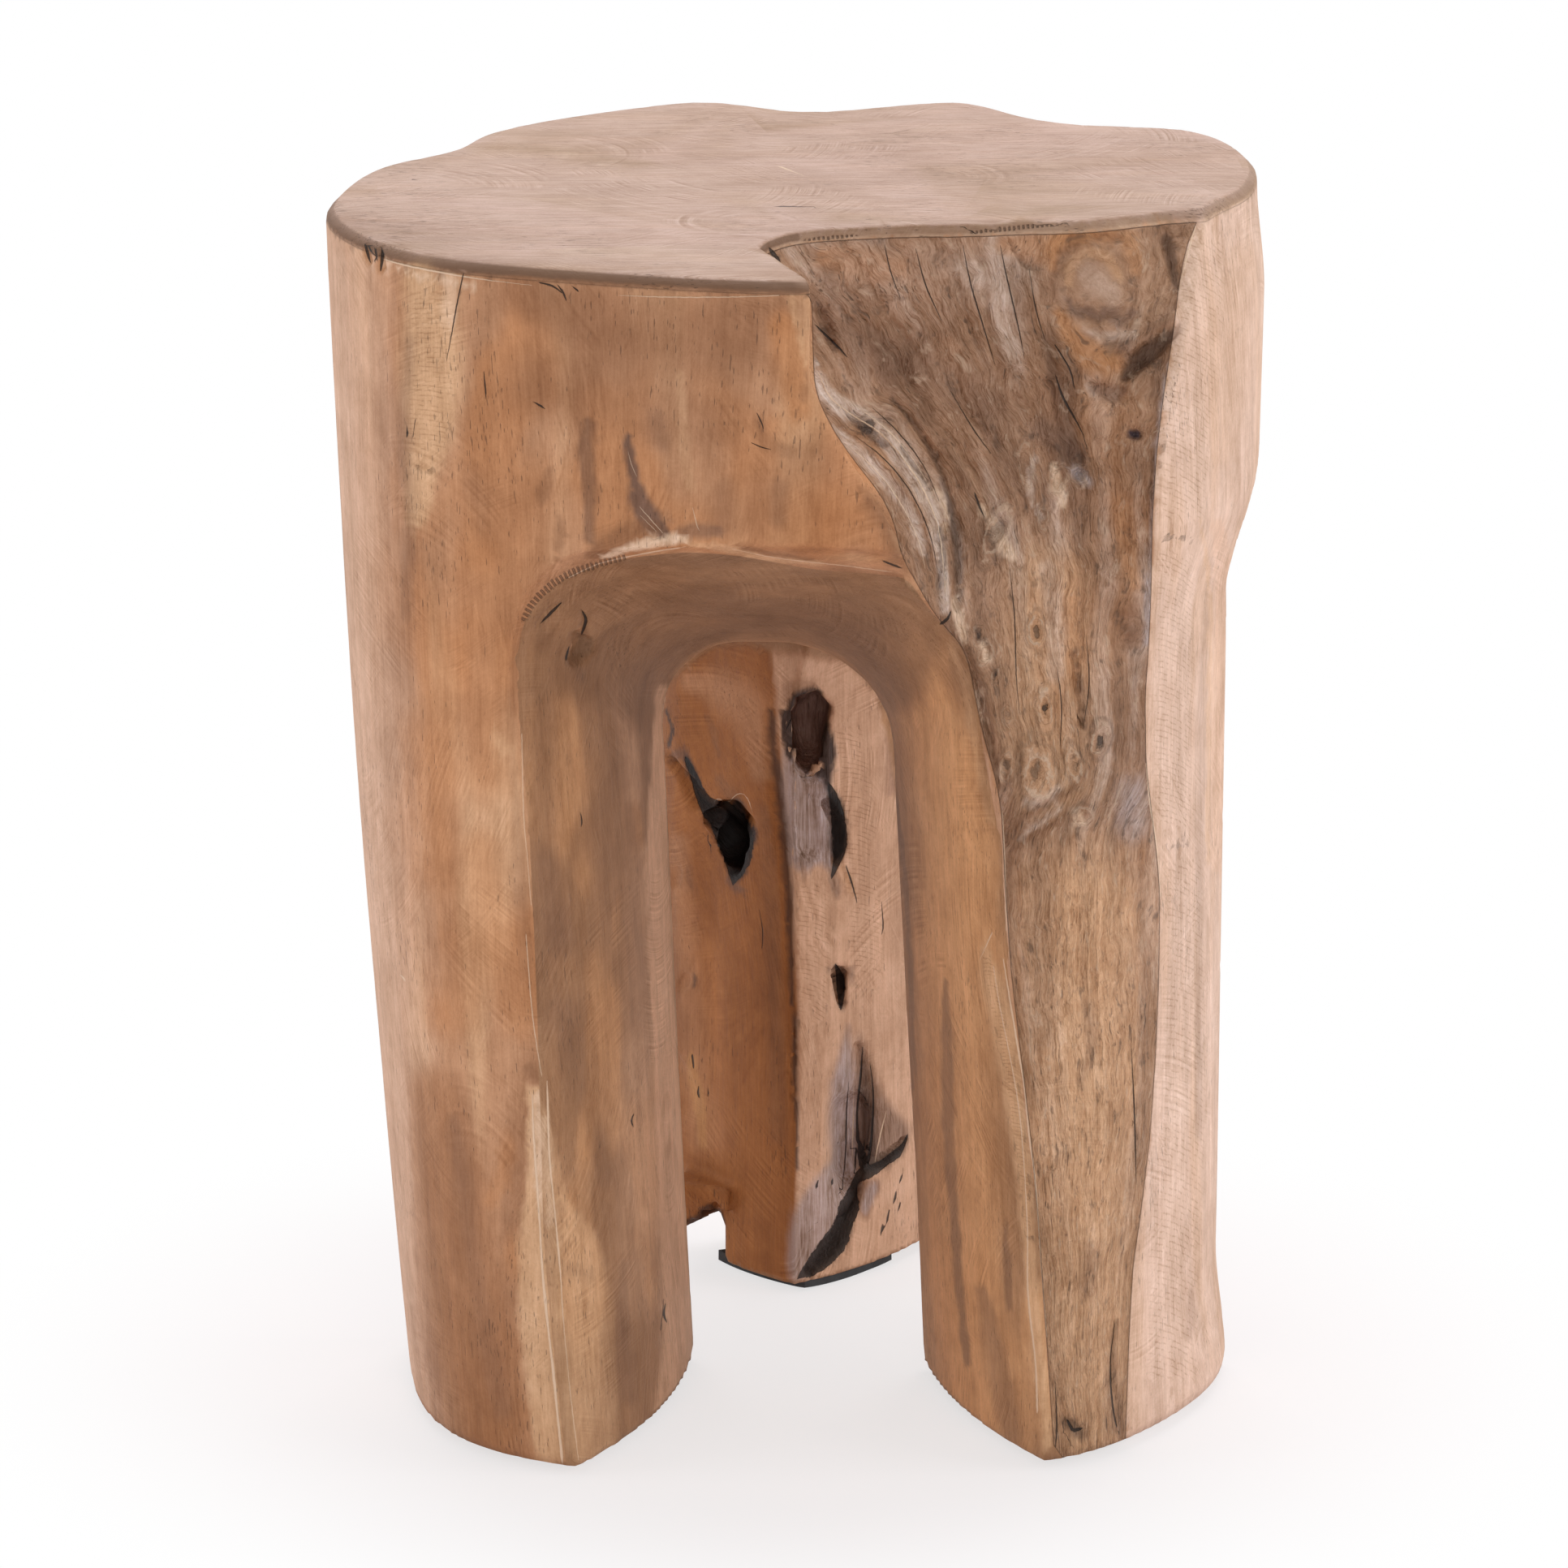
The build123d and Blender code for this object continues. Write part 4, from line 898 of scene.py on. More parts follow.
# Painted patches by zone: colour, strength, width of the edge, then the outline (u, v), all in pixels
patches = {
    "rear": [
        ("greyWood", 0.9, 5, [
            (966, 930), (1012, 936), (1022, 980), (1024, 1040), (1022, 1072), (1008, 1066), (992, 1074), (976, 1062),
            (970, 1010), (965, 960),
        ]),
        # the upper right hollow painted dark: painted shade
        ("char", 0.97, 2, [
            (976, 853), (1008, 848), (1014, 870), (1023, 893), (1030, 920), (1028, 946), (1022, 972), (1006, 956),
            (990, 944), (972, 934), (963, 914), (962, 890), (970, 872),
        ]),
        # the lower right hollow painted near black: painted shade
        ("black", 0.95, 3, [
            (1018, 966), (1027, 974), (1038, 986), (1043, 1010), (1043, 1040), (1039, 1058), (1031, 1062), (1023, 1046),
            (1024, 1012),
        ]),
        # the left hollow painted dark: painted shade
        ("char", 0.98, 2.5, [
            (843, 930), (852, 936), (860, 956), (870, 984), (894, 998), (904, 986), (914, 988), (919, 1000),
            (925, 1014), (934, 1025), (930, 1040), (923, 1058), (918, 1075), (911, 1084), (900, 1083), (893, 1061),
            (885, 1040), (875, 1022), (866, 1000), (856, 972), (846, 948),
        ]),
        # the slit painted near black: painted shade
        ("black", 0.95, 2.5, [
            (1028, 1189), (1038, 1194), (1042, 1210), (1042, 1234), (1037, 1244), (1030, 1230), (1026, 1208),
        ]),
        ("greyWood", 0.8, 6, [
            (1045, 1262), (1052, 1300), (1054, 1360), (1060, 1410), (1058, 1448), (1046, 1490), (1026, 1528),
            (1002, 1562), (976, 1578), (972, 1520), (986, 1480), (1014, 1442), (1028, 1418), (1026, 1370), (1030, 1312),
        ]),
        ("purple", 0.65, 8, [
            (1058, 1272), (1070, 1300), (1086, 1344), (1104, 1372), (1120, 1388), (1118, 1402), (1092, 1428),
            (1068, 1436), (1058, 1410), (1056, 1360), (1054, 1310),
        ]),
        ("char", 0.55, 7, [
            (1062, 1290), (1072, 1330), (1080, 1380), (1082, 1420), (1064, 1432), (1060, 1390), (1058, 1330),
        ]),
        # soft dark around the crack above the broken foot: painted shade
        ("char", 0.7, 5, [
            (1118, 1400), (1118, 1410), (1104, 1428), (1086, 1440), (1064, 1448), (1062, 1438), (1078, 1428),
            (1098, 1416),
        ]),
        # soft dark along the crack down to the broken foot: painted shade
        ("char", 0.75, 5, [
            (1052, 1450), (1064, 1456), (1060, 1480), (1052, 1500), (1048, 1524), (1030, 1548), (1008, 1566),
            (994, 1574), (1004, 1552), (1022, 1524), (1034, 1496), (1046, 1474),
        ]),
        ("umber", 0.6, 3, [
            (1064, 1450), (1082, 1452), (1084, 1462), (1078, 1482), (1066, 1504), (1058, 1492), (1056, 1474),
        ]),
        ("greyWood", 0.75, 3, [(1068, 1456), (1080, 1458), (1076, 1478), (1066, 1496), (1060, 1488), (1064, 1470)]),
        ("greyWood", 0.75, 8, [
            (1024, 1330), (1040, 1318), (1054, 1330), (1056, 1380), (1054, 1430), (1044, 1460), (1030, 1440),
            (1022, 1390),
        ]),
        ("char", 0.5, 6, [(1058, 1340), (1070, 1350), (1078, 1390), (1078, 1430), (1060, 1440), (1055, 1400)]),
        ("umber", 0.45, 6, [(964, 842), (1000, 838), (1004, 850), (980, 854), (968, 872), (960, 880)]),
    ],
    "arch": [
        ("barkPale", 0.38, 4, [
            (664, 1345), (682, 1400), (702, 1480), (735, 1520), (750, 1580), (757, 1640), (757, 1800), (690, 1810),
            (680, 1650), (668, 1500),
        ]),
        # the arch's ceiling darkened from its front edge back to the rear leg: painted shade
        ("archDark", 0.72, 18, [
            (648, 764), (690, 706), (800, 680), (900, 678), (1000, 694), (1110, 704), (1166, 770), (1140, 850),
            (1104, 872), (1060, 806), (1000, 794), (930, 786), (880, 788), (842, 808), (814, 850), (790, 900),
            (744, 870), (700, 856), (652, 850),
        ]),
    ],
}

# Fine lines that stay crisp, by zone: set of lines, then points (u, v, half width) in pixels
fineLines = {
    "bark": [
        ("darkA", [(571, 337, 0.9), (562, 380, 1.0), (556, 415, 0.8), (550, 445, 0.4)]),
        ("darkA", [(450, 300, 1.5), (453, 312, 2.0), (457, 324, 0.8)]),
        ("darkB", [(462, 303, 1.2), (464, 316, 1.5), (465, 322, 0.5)]),
        ("darkA", [(472, 305, 1.6), (471, 318, 2.4), (469, 334, 1.0)]),
        ("darkA", [(500, 520, 0.5), (502, 532, 1.6), (500, 545, 0.5)]),
        ("darkB", [(512, 515, 0.5), (511, 530, 1.4), (508, 540, 0.4)]),
        ("darkA", [(596, 455, 0.4), (598, 478, 1.2), (599, 492, 0.4)]),
        ("darkA", [(657, 495, 0.4), (666, 500, 1.6), (672, 504, 0.5)]),
        ("darkC", [(660, 347, 0.6), (680, 352, 1.4), (694, 362, 0.6)]),
        ("darkA", [(686, 350, 0.6), (694, 360, 1.4), (698, 372, 0.5)]),
        ("darkB", [(704, 352, 0.6), (712, 358, 1.4), (716, 362, 0.5)]),
        ("darkB", [(925, 545, 0.4), (938, 551, 0.9), (950, 554, 0.4)]),
        ("darkC", [(932, 508, 0.4), (938, 520, 1.0), (941, 530, 0.4)]),
        ("darkA", [(1085, 690, 1.0), (1105, 698, 1.6), (1112, 700, 0.6)]),
        ("paleA", [
            (656, 1348, 0.8), (657, 1390, 1.6), (661, 1450, 1.8), (665, 1509, 1.6), (668, 1560, 1.8), (672, 1605, 2.2),
            (677, 1650, 1.6), (682, 1692, 2.2), (687, 1745, 1.8), (693, 1802, 2.2),
        ]),
        ("paleB", [
            (674, 1332, 0.8), (675, 1360, 1.6), (677, 1424, 1.6), (684, 1497, 1.2), (688, 1540, 1.8), (691, 1575, 1.2),
            (694, 1625, 1.0), (700, 1690, 0.8), (706, 1745, 1.0), (713, 1800, 0.8),
        ]),
        ("paleA", [(774, 556, 0.4), (778, 572, 0.8), (786, 590, 0.4)]),
        ("paleA", [(786, 622, 0.5), (800, 638, 0.9), (818, 658, 0.6)]),
        ("paleB", [(788, 634, 0.4), (802, 648, 0.7), (812, 658, 0.4)]),
        ("paleA", [(853, 624, 0.5), (858, 645, 0.9), (862, 655, 0.4)]),
        ("paleA", [(700, 712, 0.8), (740, 694, 1.0), (800, 681, 1.2), (845, 674, 0.8)]),
        ("paleA", [(643, 900, 0.8), (645, 1000, 1.0), (650, 1060, 0.8), (655, 1120, 0.8)]),
        ("paleA", [(900, 676, 0.6), (960, 688, 0.8), (1040, 697, 0.8), (1100, 705, 0.8)]),
        ("paleA", [(1476, 270, 1.0), (1464, 310, 1.2), (1452, 360, 0.8)]),
        ("paleA", [(492, 1200, 0.8), (498, 1206, 1.6), (500, 1212, 0.6)]),
        ("teeth", [(645, 764, 4), (656, 744, 5), (672, 727, 5), (700, 708, 5), (735, 696, 5), (772, 686, 4)]),
        ("teeth", [(990, 296, 1.5), (1010, 294, 2.5), (1035, 292, 2.5), (1056, 290, 1.5)]),
        ("teeth", [(1196, 287, 1.5), (1220, 284, 3), (1260, 280, 3), (1300, 276, 2.5), (1320, 273, 1.5)]),
        # pale lines along the seat's front edge: painted highlight
        ("paleB", [(468, 318, 0.8), (500, 327, 1.6), (550, 337, 1.4), (600, 345, 0.9), (660, 352, 0.5)]),
        ("paleC", [(760, 364, 0.5), (820, 366, 1.0), (900, 366, 0.9), (960, 364, 0.8)]),
    ],
    "flank": [
        ("darkC", [(948, 306, 1.5), (956, 318, 4.0), (962, 330, 1.5)]),
        ("darkA", [(1004, 400, 1.2), (1030, 425, 1.6), (1044, 440, 0.6)]),
        ("darkA", [(1150, 262, 0.8), (1180, 274, 2.0), (1202, 288, 0.8)]),
        ("darkA", [(1090, 300, 0.4), (1096, 330, 1.0), (1110, 370, 0.4)]),
        ("darkB", [(1128, 305, 0.4), (1140, 350, 1.0), (1160, 395, 0.5)]),
        ("darkA", [(1186, 300, 0.4), (1196, 350, 1.0), (1214, 410, 0.9), (1226, 450, 0.4)]),
        ("darkB", [(1232, 300, 0.4), (1240, 340, 1.0), (1254, 400, 0.9), (1262, 440, 0.4)]),
        ("darkA", [(1268, 330, 0.4), (1276, 380, 0.9), (1288, 420, 0.4)]),
        ("darkB", [(1244, 700, 0.3), (1250, 760, 0.9), (1252, 830, 0.8), (1256, 880, 0.3)]),
        ("darkA", [(1302, 820, 0.3), (1308, 870, 1.0), (1306, 920, 0.4)]),
        ("darkB", [(1338, 780, 0.3), (1342, 840, 0.9), (1336, 890, 0.4)]),
        ("darkB", [(1170, 480, 0.4), (1200, 530, 0.9), (1222, 560, 0.4)]),
        ("darkA", [(1200, 605, 1.0), (1206, 622, 1.6), (1214, 640, 0.5)]),
        ("darkA", [(1300, 460, 0.6), (1310, 490, 1.6), (1332, 530, 0.8), (1340, 555, 0.4)]),
        ("darkB", [(1300, 425, 0.8), (1318, 455, 1.2), (1324, 480, 0.6)]),
        ("darkA", [(1160, 768, 2.0), (1168, 762, 2.0), (1172, 752, 0.8)]),
        ("darkC", [(1394, 1290, 0.4), (1398, 1380, 1.2), (1400, 1460, 0.4)]),
        ("darkB", [(1374, 1628, 0.6), (1368, 1680, 1.0), (1372, 1740, 1.4), (1380, 1770, 0.6)]),
        ("darkA", [(1300, 1700, 0.5), (1302, 1760, 1.2), (1300, 1785, 0.6)]),
        ("darkA", [(1315, 1750, 1.5), (1322, 1762, 2.5), (1332, 1760, 2.0)]),
        ("darkA", [(1052, 536, 0.3), (1090, 566, 0.9), (1122, 606, 0.9), (1145, 656, 0.8), (1156, 706, 0.3)]),
        ("darkC", [(1070, 498, 0.3), (1106, 532, 0.9), (1138, 574, 0.7), (1158, 620, 0.3)]),
        # pale lines along the rolled lip: silvery fibres and a painted highlight
        ("paleA", [
            (1008, 458, 0.8), (1022, 488, 1.2), (1048, 510, 1.2), (1085, 534, 1.4), (1118, 572, 1.4), (1143, 614, 1.2),
            (1158, 660, 1.0), (1165, 730, 0.8),
        ]),
        ("paleB", [(1030, 484, 0.5), (1060, 504, 0.8), (1096, 532, 1.0), (1128, 570, 0.8), (1150, 610, 0.5)]),
        ("paleC", [(1040, 545, 0.5), (1074, 574, 1.0), (1106, 614, 1.0), (1130, 662, 0.8), (1140, 700, 0.5)]),
        # pale lines on the sanded chamfer of the front-right reveal's edge: paler wood and a painted highlight
        ("paleA", [(1235, 1000, 0.8), (1238, 1060, 1.2), (1240, 1150, 1.0)]),
        ("paleA", [
            (1236, 1180, 1.0), (1244, 1230, 1.4), (1254, 1290, 1.6), (1262, 1340, 1.4), (1268, 1400, 1.6),
            (1275, 1450, 1.6), (1279, 1500, 1.0), (1283, 1560, 0.8), (1290, 1650, 1.0),
        ]),
        ("paleB", [(1412, 940, 1.0), (1417, 990, 1.4), (1426, 1050, 1.2), (1430, 1110, 0.8)]),
    ],
    "arch": [
        ("darkA", [(717, 752, 1.0), (722, 764, 2.0), (717, 780, 1.6)]),
        ("darkB", [(702, 796, 1.0), (698, 808, 1.6), (697, 816, 0.8)]),
        ("darkC", [(692, 742, 0.8), (680, 754, 2.0), (666, 768, 1.0)]),
        ("darkA", [(880, 930, 0.4), (884, 940, 0.6)]),
        ("darkB", [(782, 1370, 0.6), (778, 1380, 1.4), (781, 1390, 0.6)]),
        ("darkB", [(820, 1605, 0.8), (818, 1620, 1.8), (822, 1630, 0.8)]),
        ("darkC", [(818, 1600, 0.6), (814, 1640, 0.8)]),
        ("darkA", [(715, 1000, 0.6), (717, 1012, 1.2), (716, 1020, 0.5)]),
        ("darkB", [(1135, 1680, 2.0), (1140, 1690, 1.0)]),
        ("paleB", [
            (674, 1332, 0.8), (675, 1360, 1.6), (677, 1424, 1.6), (684, 1497, 1.2), (688, 1540, 1.8), (691, 1575, 1.2),
            (694, 1625, 1.0), (700, 1690, 0.8), (706, 1745, 1.0), (713, 1800, 0.8),
        ]),
        ("paleA", [(648, 1150, 0.8), (656, 1250, 1.0), (668, 1330, 0.8)]),
        # pale lines on the sanded chamfer of the front-right reveal's edge: paler wood and a painted highlight
        ("paleA", [
            (1236, 1180, 1.0), (1244, 1230, 1.4), (1254, 1290, 1.6), (1262, 1340, 1.4), (1268, 1400, 1.6),
            (1275, 1450, 1.6), (1279, 1500, 1.0), (1283, 1560, 0.8), (1290, 1650, 1.0),
        ]),
        ("paleB", [(1222, 1150, 1.4), (1206, 1185, 0.5)]),
        ("paleC", [
            (1224, 1190, 0.8), (1232, 1240, 1.0), (1246, 1310, 1.0), (1256, 1370, 1.2), (1262, 1440, 1.0),
            (1266, 1520, 1.2), (1266, 1580, 1.4), (1269, 1620, 1.6), (1276, 1680, 1.4), (1278, 1740, 1.6),
        ]),
        ("teeth", [(645, 764, 4), (656, 744, 5), (672, 727, 5), (700, 708, 5), (735, 696, 5), (772, 686, 4)]),
        # dark line along the top of the rear leg's inner faces, under the ceiling: painted shadow
        ("darkC", [
            (822, 858, 0.6), (826, 845, 1.0), (850, 821, 1.2), (880, 801, 1.4), (905, 797, 1.4), (935, 801, 1.4),
            (960, 812, 1.6), (985, 812, 1.6), (1005, 819, 1.4), (1040, 821, 1.4), (1060, 839, 1.2), (1080, 866, 1.0),
            (1088, 900, 0.6),
        ]),
    ],
    "rear": [
        ("darkA", [(976, 884, 0.6), (968, 900, 1.0)]),
        ("darkA", [(1008, 1455, 1.0), (1006, 1462, 2.0)]),
        ("darkB", [(1026, 1452, 1.0), (1025, 1458, 2.0)]),
        ("darkA", [(1086, 1110, 0.4), (1088, 1140, 1.0), (1086, 1152, 0.4)]),
        ("darkC", [(1042, 1066, 0.8), (1050, 1090, 1.4), (1056, 1112, 0.6)]),
        ("darkB", [
            (1118, 1399, 1.5), (1112, 1412, 3), (1104, 1422, 6), (1090, 1432, 5), (1078, 1440, 7), (1064, 1446, 9),
            (1054, 1456, 4), (1050, 1470, 7), (1046, 1488, 13), (1040, 1506, 11), (1030, 1528, 15), (1016, 1546, 14),
            (1000, 1562, 10), (988, 1572, 5),
        ]),
        ("darkC", [(1059, 1406, 1.5), (1061, 1418, 5), (1065, 1430, 8), (1068, 1442, 7)]),
        # broad dark line filling the left hollow: painted shade
        ("darkB", [
            (846, 936, 3), (856, 958, 5), (864, 980, 7), (876, 996, 13), (893, 1008, 21), (903, 1026, 25),
            (908, 1046, 21), (908, 1066, 14), (905, 1082, 6),
        ]),
        # dark lines filling the lower right hollow and the slit: painted shade
        ("darkB", [(1022, 968, 3), (1029, 990, 7), (1033, 1015, 9), (1035, 1040, 9), (1031, 1062, 5), (1025, 1080, 2)]),
        ("darkB", [(1030, 1190, 2), (1035, 1204, 5), (1036, 1222, 5), (1036, 1242, 2)]),
        ("darkA", [(1063, 1290, 0.6), (1060, 1330, 1.6), (1056, 1370, 1.4), (1057, 1406, 2.4)]),
        ("darkC", [(1072, 1310, 0.5), (1076, 1350, 1.2), (1074, 1400, 1.6), (1070, 1430, 2.0)]),
        ("darkC", [(1046, 1330, 0.4), (1043, 1370, 1.0), (1042, 1420, 0.9), (1038, 1460, 0.4)]),
        ("paleA", [(1093, 1366, 0.5), (1086, 1392, 1.2), (1080, 1420, 1.0), (1078, 1432, 0.5)]),
        ("paleB", [(1052, 1340, 0.4), (1051, 1390, 1.0), (1050, 1430, 0.6)]),
        ("paleA", [
            (878, 990, 0.4), (886, 984, 1.0), (896, 990, 0.5), (906, 980, 0.9), (916, 978, 0.5), (924, 990, 0.9),
            (928, 1004, 0.4),
        ]),
        ("darkA", [(1112, 1446, 0.6), (1110, 1452, 1.4), (1108, 1458, 0.6)]),
        ("darkA", [(1104, 1468, 0.8), (1103, 1476, 1.8), (1100, 1484, 0.6)]),
        ("darkA", [(1096, 1490, 0.8), (1094, 1500, 1.6), (1092, 1508, 0.6)]),
        ("darkA", [(1088, 1506, 0.6), (1087, 1514, 1.8), (1085, 1522, 0.8)]),
        ("darkC", [(1110, 1480, 0.5), (1108, 1487, 1.2), (1106, 1493, 0.5)]),
        ("darkA", [(853, 1300, 1.4), (855, 1318, 1.2)]),
        ("darkB", [(861, 1338, 0.6), (860, 1346, 1.6), (862, 1354, 0.6)]),
        ("darkC", [(872, 1336, 0.5), (873, 1344, 1.2), (872, 1352, 0.5)]),
        ("darkC", [(900, 1012, 0.4), (902, 1018, 0.6)]),
        ("darkB", [(935, 1118, 0.3), (940, 1150, 0.8), (938, 1178, 0.3)]),
    ],
    "seat": [
        ("darkA", [(948, 255, 0.5), (975, 254, 1.2), (1005, 255, 0.5)]),
        ("darkB", [(584, 230, 0.4), (600, 228, 1.0), (612, 229, 0.4)]),
        ("darkB", [(768, 219, 0.4), (785, 216, 0.9), (800, 217, 0.4)]),
        ("darkA", [(490, 227, 0.4), (505, 222, 0.9), (515, 220, 0.4)]),
        ("darkA", [(1090, 228, 0.4), (1100, 229, 0.9), (1112, 229, 0.4)]),
        ("darkA", [(1120, 224, 0.4), (1150, 226, 1.1), (1175, 224, 0.4)]),
        ("darkA", [(850, 168, 0.3), (880, 169, 0.8), (905, 168, 0.3)]),
        ("darkB", [(735, 264, 0.4), (742, 274, 0.8), (770, 284, 0.6), (830, 292, 0.4)]),
        ("darkA", [(480, 259, 0.3), (520, 266, 0.8), (560, 270, 0.3)]),
        ("darkB", [(812, 330, 0.4), (824, 331, 1.1), (832, 332, 0.4)]),
        ("darkA", [(1060, 160, 0.4), (1078, 162, 1.2), (1098, 161, 0.4)]),
        ("darkB", [(1148, 165, 0.4), (1160, 166, 1.0)]),
        ("darkA", [(1190, 157, 0.4), (1230, 156, 0.8), (1250, 157, 0.4)]),
        ("paleA", [(636, 222, 0.6), (645, 224, 1.4), (651, 223, 0.8)]),
        ("paleA", [(934, 200, 0.6), (950, 199, 1.0), (966, 199, 0.6)]),
        ("paleA", [(987, 213, 0.8), (1000, 213, 2.0), (1010, 210, 0.8)]),
        ("paleB", [(953, 203, 0.8), (960, 204, 1.2)]),
    ],
}

lineSets = ("darkA", "darkB", "darkC", "paleA", "paleB", "paleC", "teeth")  # close neighbours are in different sets
lineReach = 0.0095  # how far from a fine line its fields are kept, in metres
pixelSize = camera["distance"] / camera["focalPixels"]


def zoneWeights(skin):
    # where strokes of each zone may lie; borders between layers are drawn by the material
    near = 1 - ease(0.02, 0.05, skin["points"][:, 1])
    inHollow = (skin["wall"] > 0.003) & (np.abs(skin["points"][:, 0]) < logShape["rearHalfWidth"])
    return {
        "bark": skin["seen"] * (1 - skin["seat"]),
        "seat": skin["seen"] * skin["seat"],
        "flank": skin["seen"] * near * (1 - skin["seat"]),
        "arch": skin["seen"] * (1 - skin["rear"]),
        "rear": skin["rear"] * np.maximum(skin["seen"], inHollow),
    }


strokeLayers = {"bark": "tint", "seat": "tint", "flank": "tintFlank", "arch": "tintInside", "rear": "tintInside"}


def paintSkin(skin):
    # three layers of colour: the bark and seat, the flank, and the insides
    points, normals = skin["points"], skin["normals"]
    colours = {name: linear(*value) for name, value in woodColours.items()}
    grounds = {"tint": "bark", "tintFlank": "flank", "tintInside": "arch"}
    layers = {name: np.tile(colours[ground], (len(points), 1)) for name, ground in grounds.items()}

    def lay(layer, colour, share, where=slice(None)):
        share = np.clip(share, 0, 1)[:, None]
        layers[layer][where] = layers[layer][where] * (1 - share) + colours[colour] * share

    bands = cloud(points, (0.022, 0.022, 0.16), 21.0, 2)
    clouds = cloud(points, (0.045, 0.045, 0.075), 23.0, 3)
    lay("tint", "barkBrown", 0.65 * ease(0.0, 0.5, bands))
    lay("tint", "barkOrange", 0.55 * ease(0.05, 0.5, clouds))
    lay("tint", "barkPale", 0.45 * ease(0.1, 0.6, -bands))
    stains = cloud(points, (0.02, 0.02, 0.07), 27.0, 2)
    lay("tint", "stain", 0.30 * ease(0.25, 0.6, stains) * ease(0.16, 0.02, points[:, 2]))
    # sides that face the left turn pale pink: partly the wood's tone, partly a painted highlight from the left
    lay("tint", "edgePink", 0.75 * ease(0.70, 0.98, -normals[:, 0]) * skin["front"])
    # right of the crease the bark is painted paler, a painted highlight; the warm bands on it are the wood's own
    right = ease(-1, 1, skin["u"] - edgeAt("crease", skin["v"])) * ease(0.07, 0.02, points[:, 1]) * (points[:, 0] > 0)
    lay("tint", "strip", 0.9 * right)
    lay("tint", "stripWarm", right * 0.6 * ease(0.0, 0.4, bands))
    lay("tintInside", "stain", 0.25 * ease(0.0, 0.5, clouds))
    lay("tintInside", "archWarm", 0.45 * ease(0.1, 0.5, -clouds))
    lay("tintInside", "rearLeft", skin["rear"])
    lay("tintInside", "rearRight", skin["rear"] * ease(-3, 3, skin["u"] - edgeAt("ridge", skin["v"])))
    fibres = cloud(grainPlaces(skin)[1], (0.010, 0.03, 0.12), 31.0, 3)
    lay("tintFlank", "flankDark", 0.46 * ease(0.05, 0.45, fibres))
    lay("tintFlank", "silk", 0.38 * ease(0.1, 0.5, -fibres))
    lay("tintFlank", "orange", 0.30 * ease(0.1, 0.5, clouds))
    lay("tintFlank", "flankDark", 0.32 * ease(0.1, 0.5, cloud(points, (0.018, 0.018, 0.030), 39.0, 3)))
    lay("tint", "seat", skin["seat"])
    streaks = cloud(points, (0.07, 0.020, 0.1), 33.0, 3)
    lay("tint", "seatBrown", 0.45 * skin["seat"] * ease(0.0, 0.5, streaks))
    lay("tint", "seatPink", 0.40 * skin["seat"] * ease(0.0, 0.5, cloud(points, (0.05, 0.05, 0.1), 41.0, 2)))
    lay("tint", "rim", skin["rim"])
    lay("tint", "rimPale", skin["rim"] * ease(930, 960, skin["u"]) * (skin["v"] < 330))
    wobbleU = 2.5 * cloud(points, (0.006, 0.006, 0.010), 35.0, 2)
    wobbleV = 2.5 * cloud(points, (0.006, 0.006, 0.010), 37.0, 2)
    weights = zoneWeights(skin)
    for zone, colour, strength, soft, line in strokesOf(painting):
        near, signed, past, width, along = strokeField(skin["u"] + wobbleU, skin["v"] + wobbleV, line)
        share = ease(1 + soft * 0.5, 1 - soft, np.hypot(signed, past) / width)
        lay(strokeLayers[zone], colour, strength * share * weights[zone][near], near)
    torn = np.zeros(len(points))
    deep = skin["rear"] * ease(0.004, 0.012, skin["wall"])
    for zone, colour, strength, edge, corners in strokesOf(patches):
        field = outlineField(skin["u"] + wobbleU * 0.8, skin["v"] + wobbleV * 0.8, corners, 3 * edge)
        share = ease(-edge, edge, field) * weights[zone]
        lay(strokeLayers[zone], colour, strength * share)
        if zone == "rear" and colour != "umber":
            torn = np.maximum(torn, share)
    # darker brown inside the right-hand hollows, from about 4 mm deep: painted shade
    lay("tintInside", "hollowShadeBrown", deep * ease(-0.010, 0.0, points[:, 0]) * (points[:, 2] > logShape["hollowBottom"]))
    return layers, torn


def lineFields(skin):
    weights = zoneWeights(skin)
    count = len(skin["u"])
    fields = {name: np.tile((3.0, -1.0, 0.0), (count, 1)) for name in lineSets}  # far off, no width
    nearest = {name: np.full(count, 1e6) for name in fields}
    for zone, name, line in strokesOf(fineLines):
        near, signed, past, width, along = strokeField(skin["u"], skin["v"], line, lineReach / pixelSize)
        values = np.column_stack((signed, width - 0.6 * past, along)) * pixelSize
        far = np.hypot(signed, past) * pixelSize
        here = (far < nearest[name][near]) & (weights[zone][near] > 0.4) & (far < lineReach)
        values[:, 1] -= 0.001 * ease(lineReach * 0.5, lineReach, far)
        nearest[name][near[here]] = far[here]
        fields[name][near[here]] = values[here] * 1000
    return fields


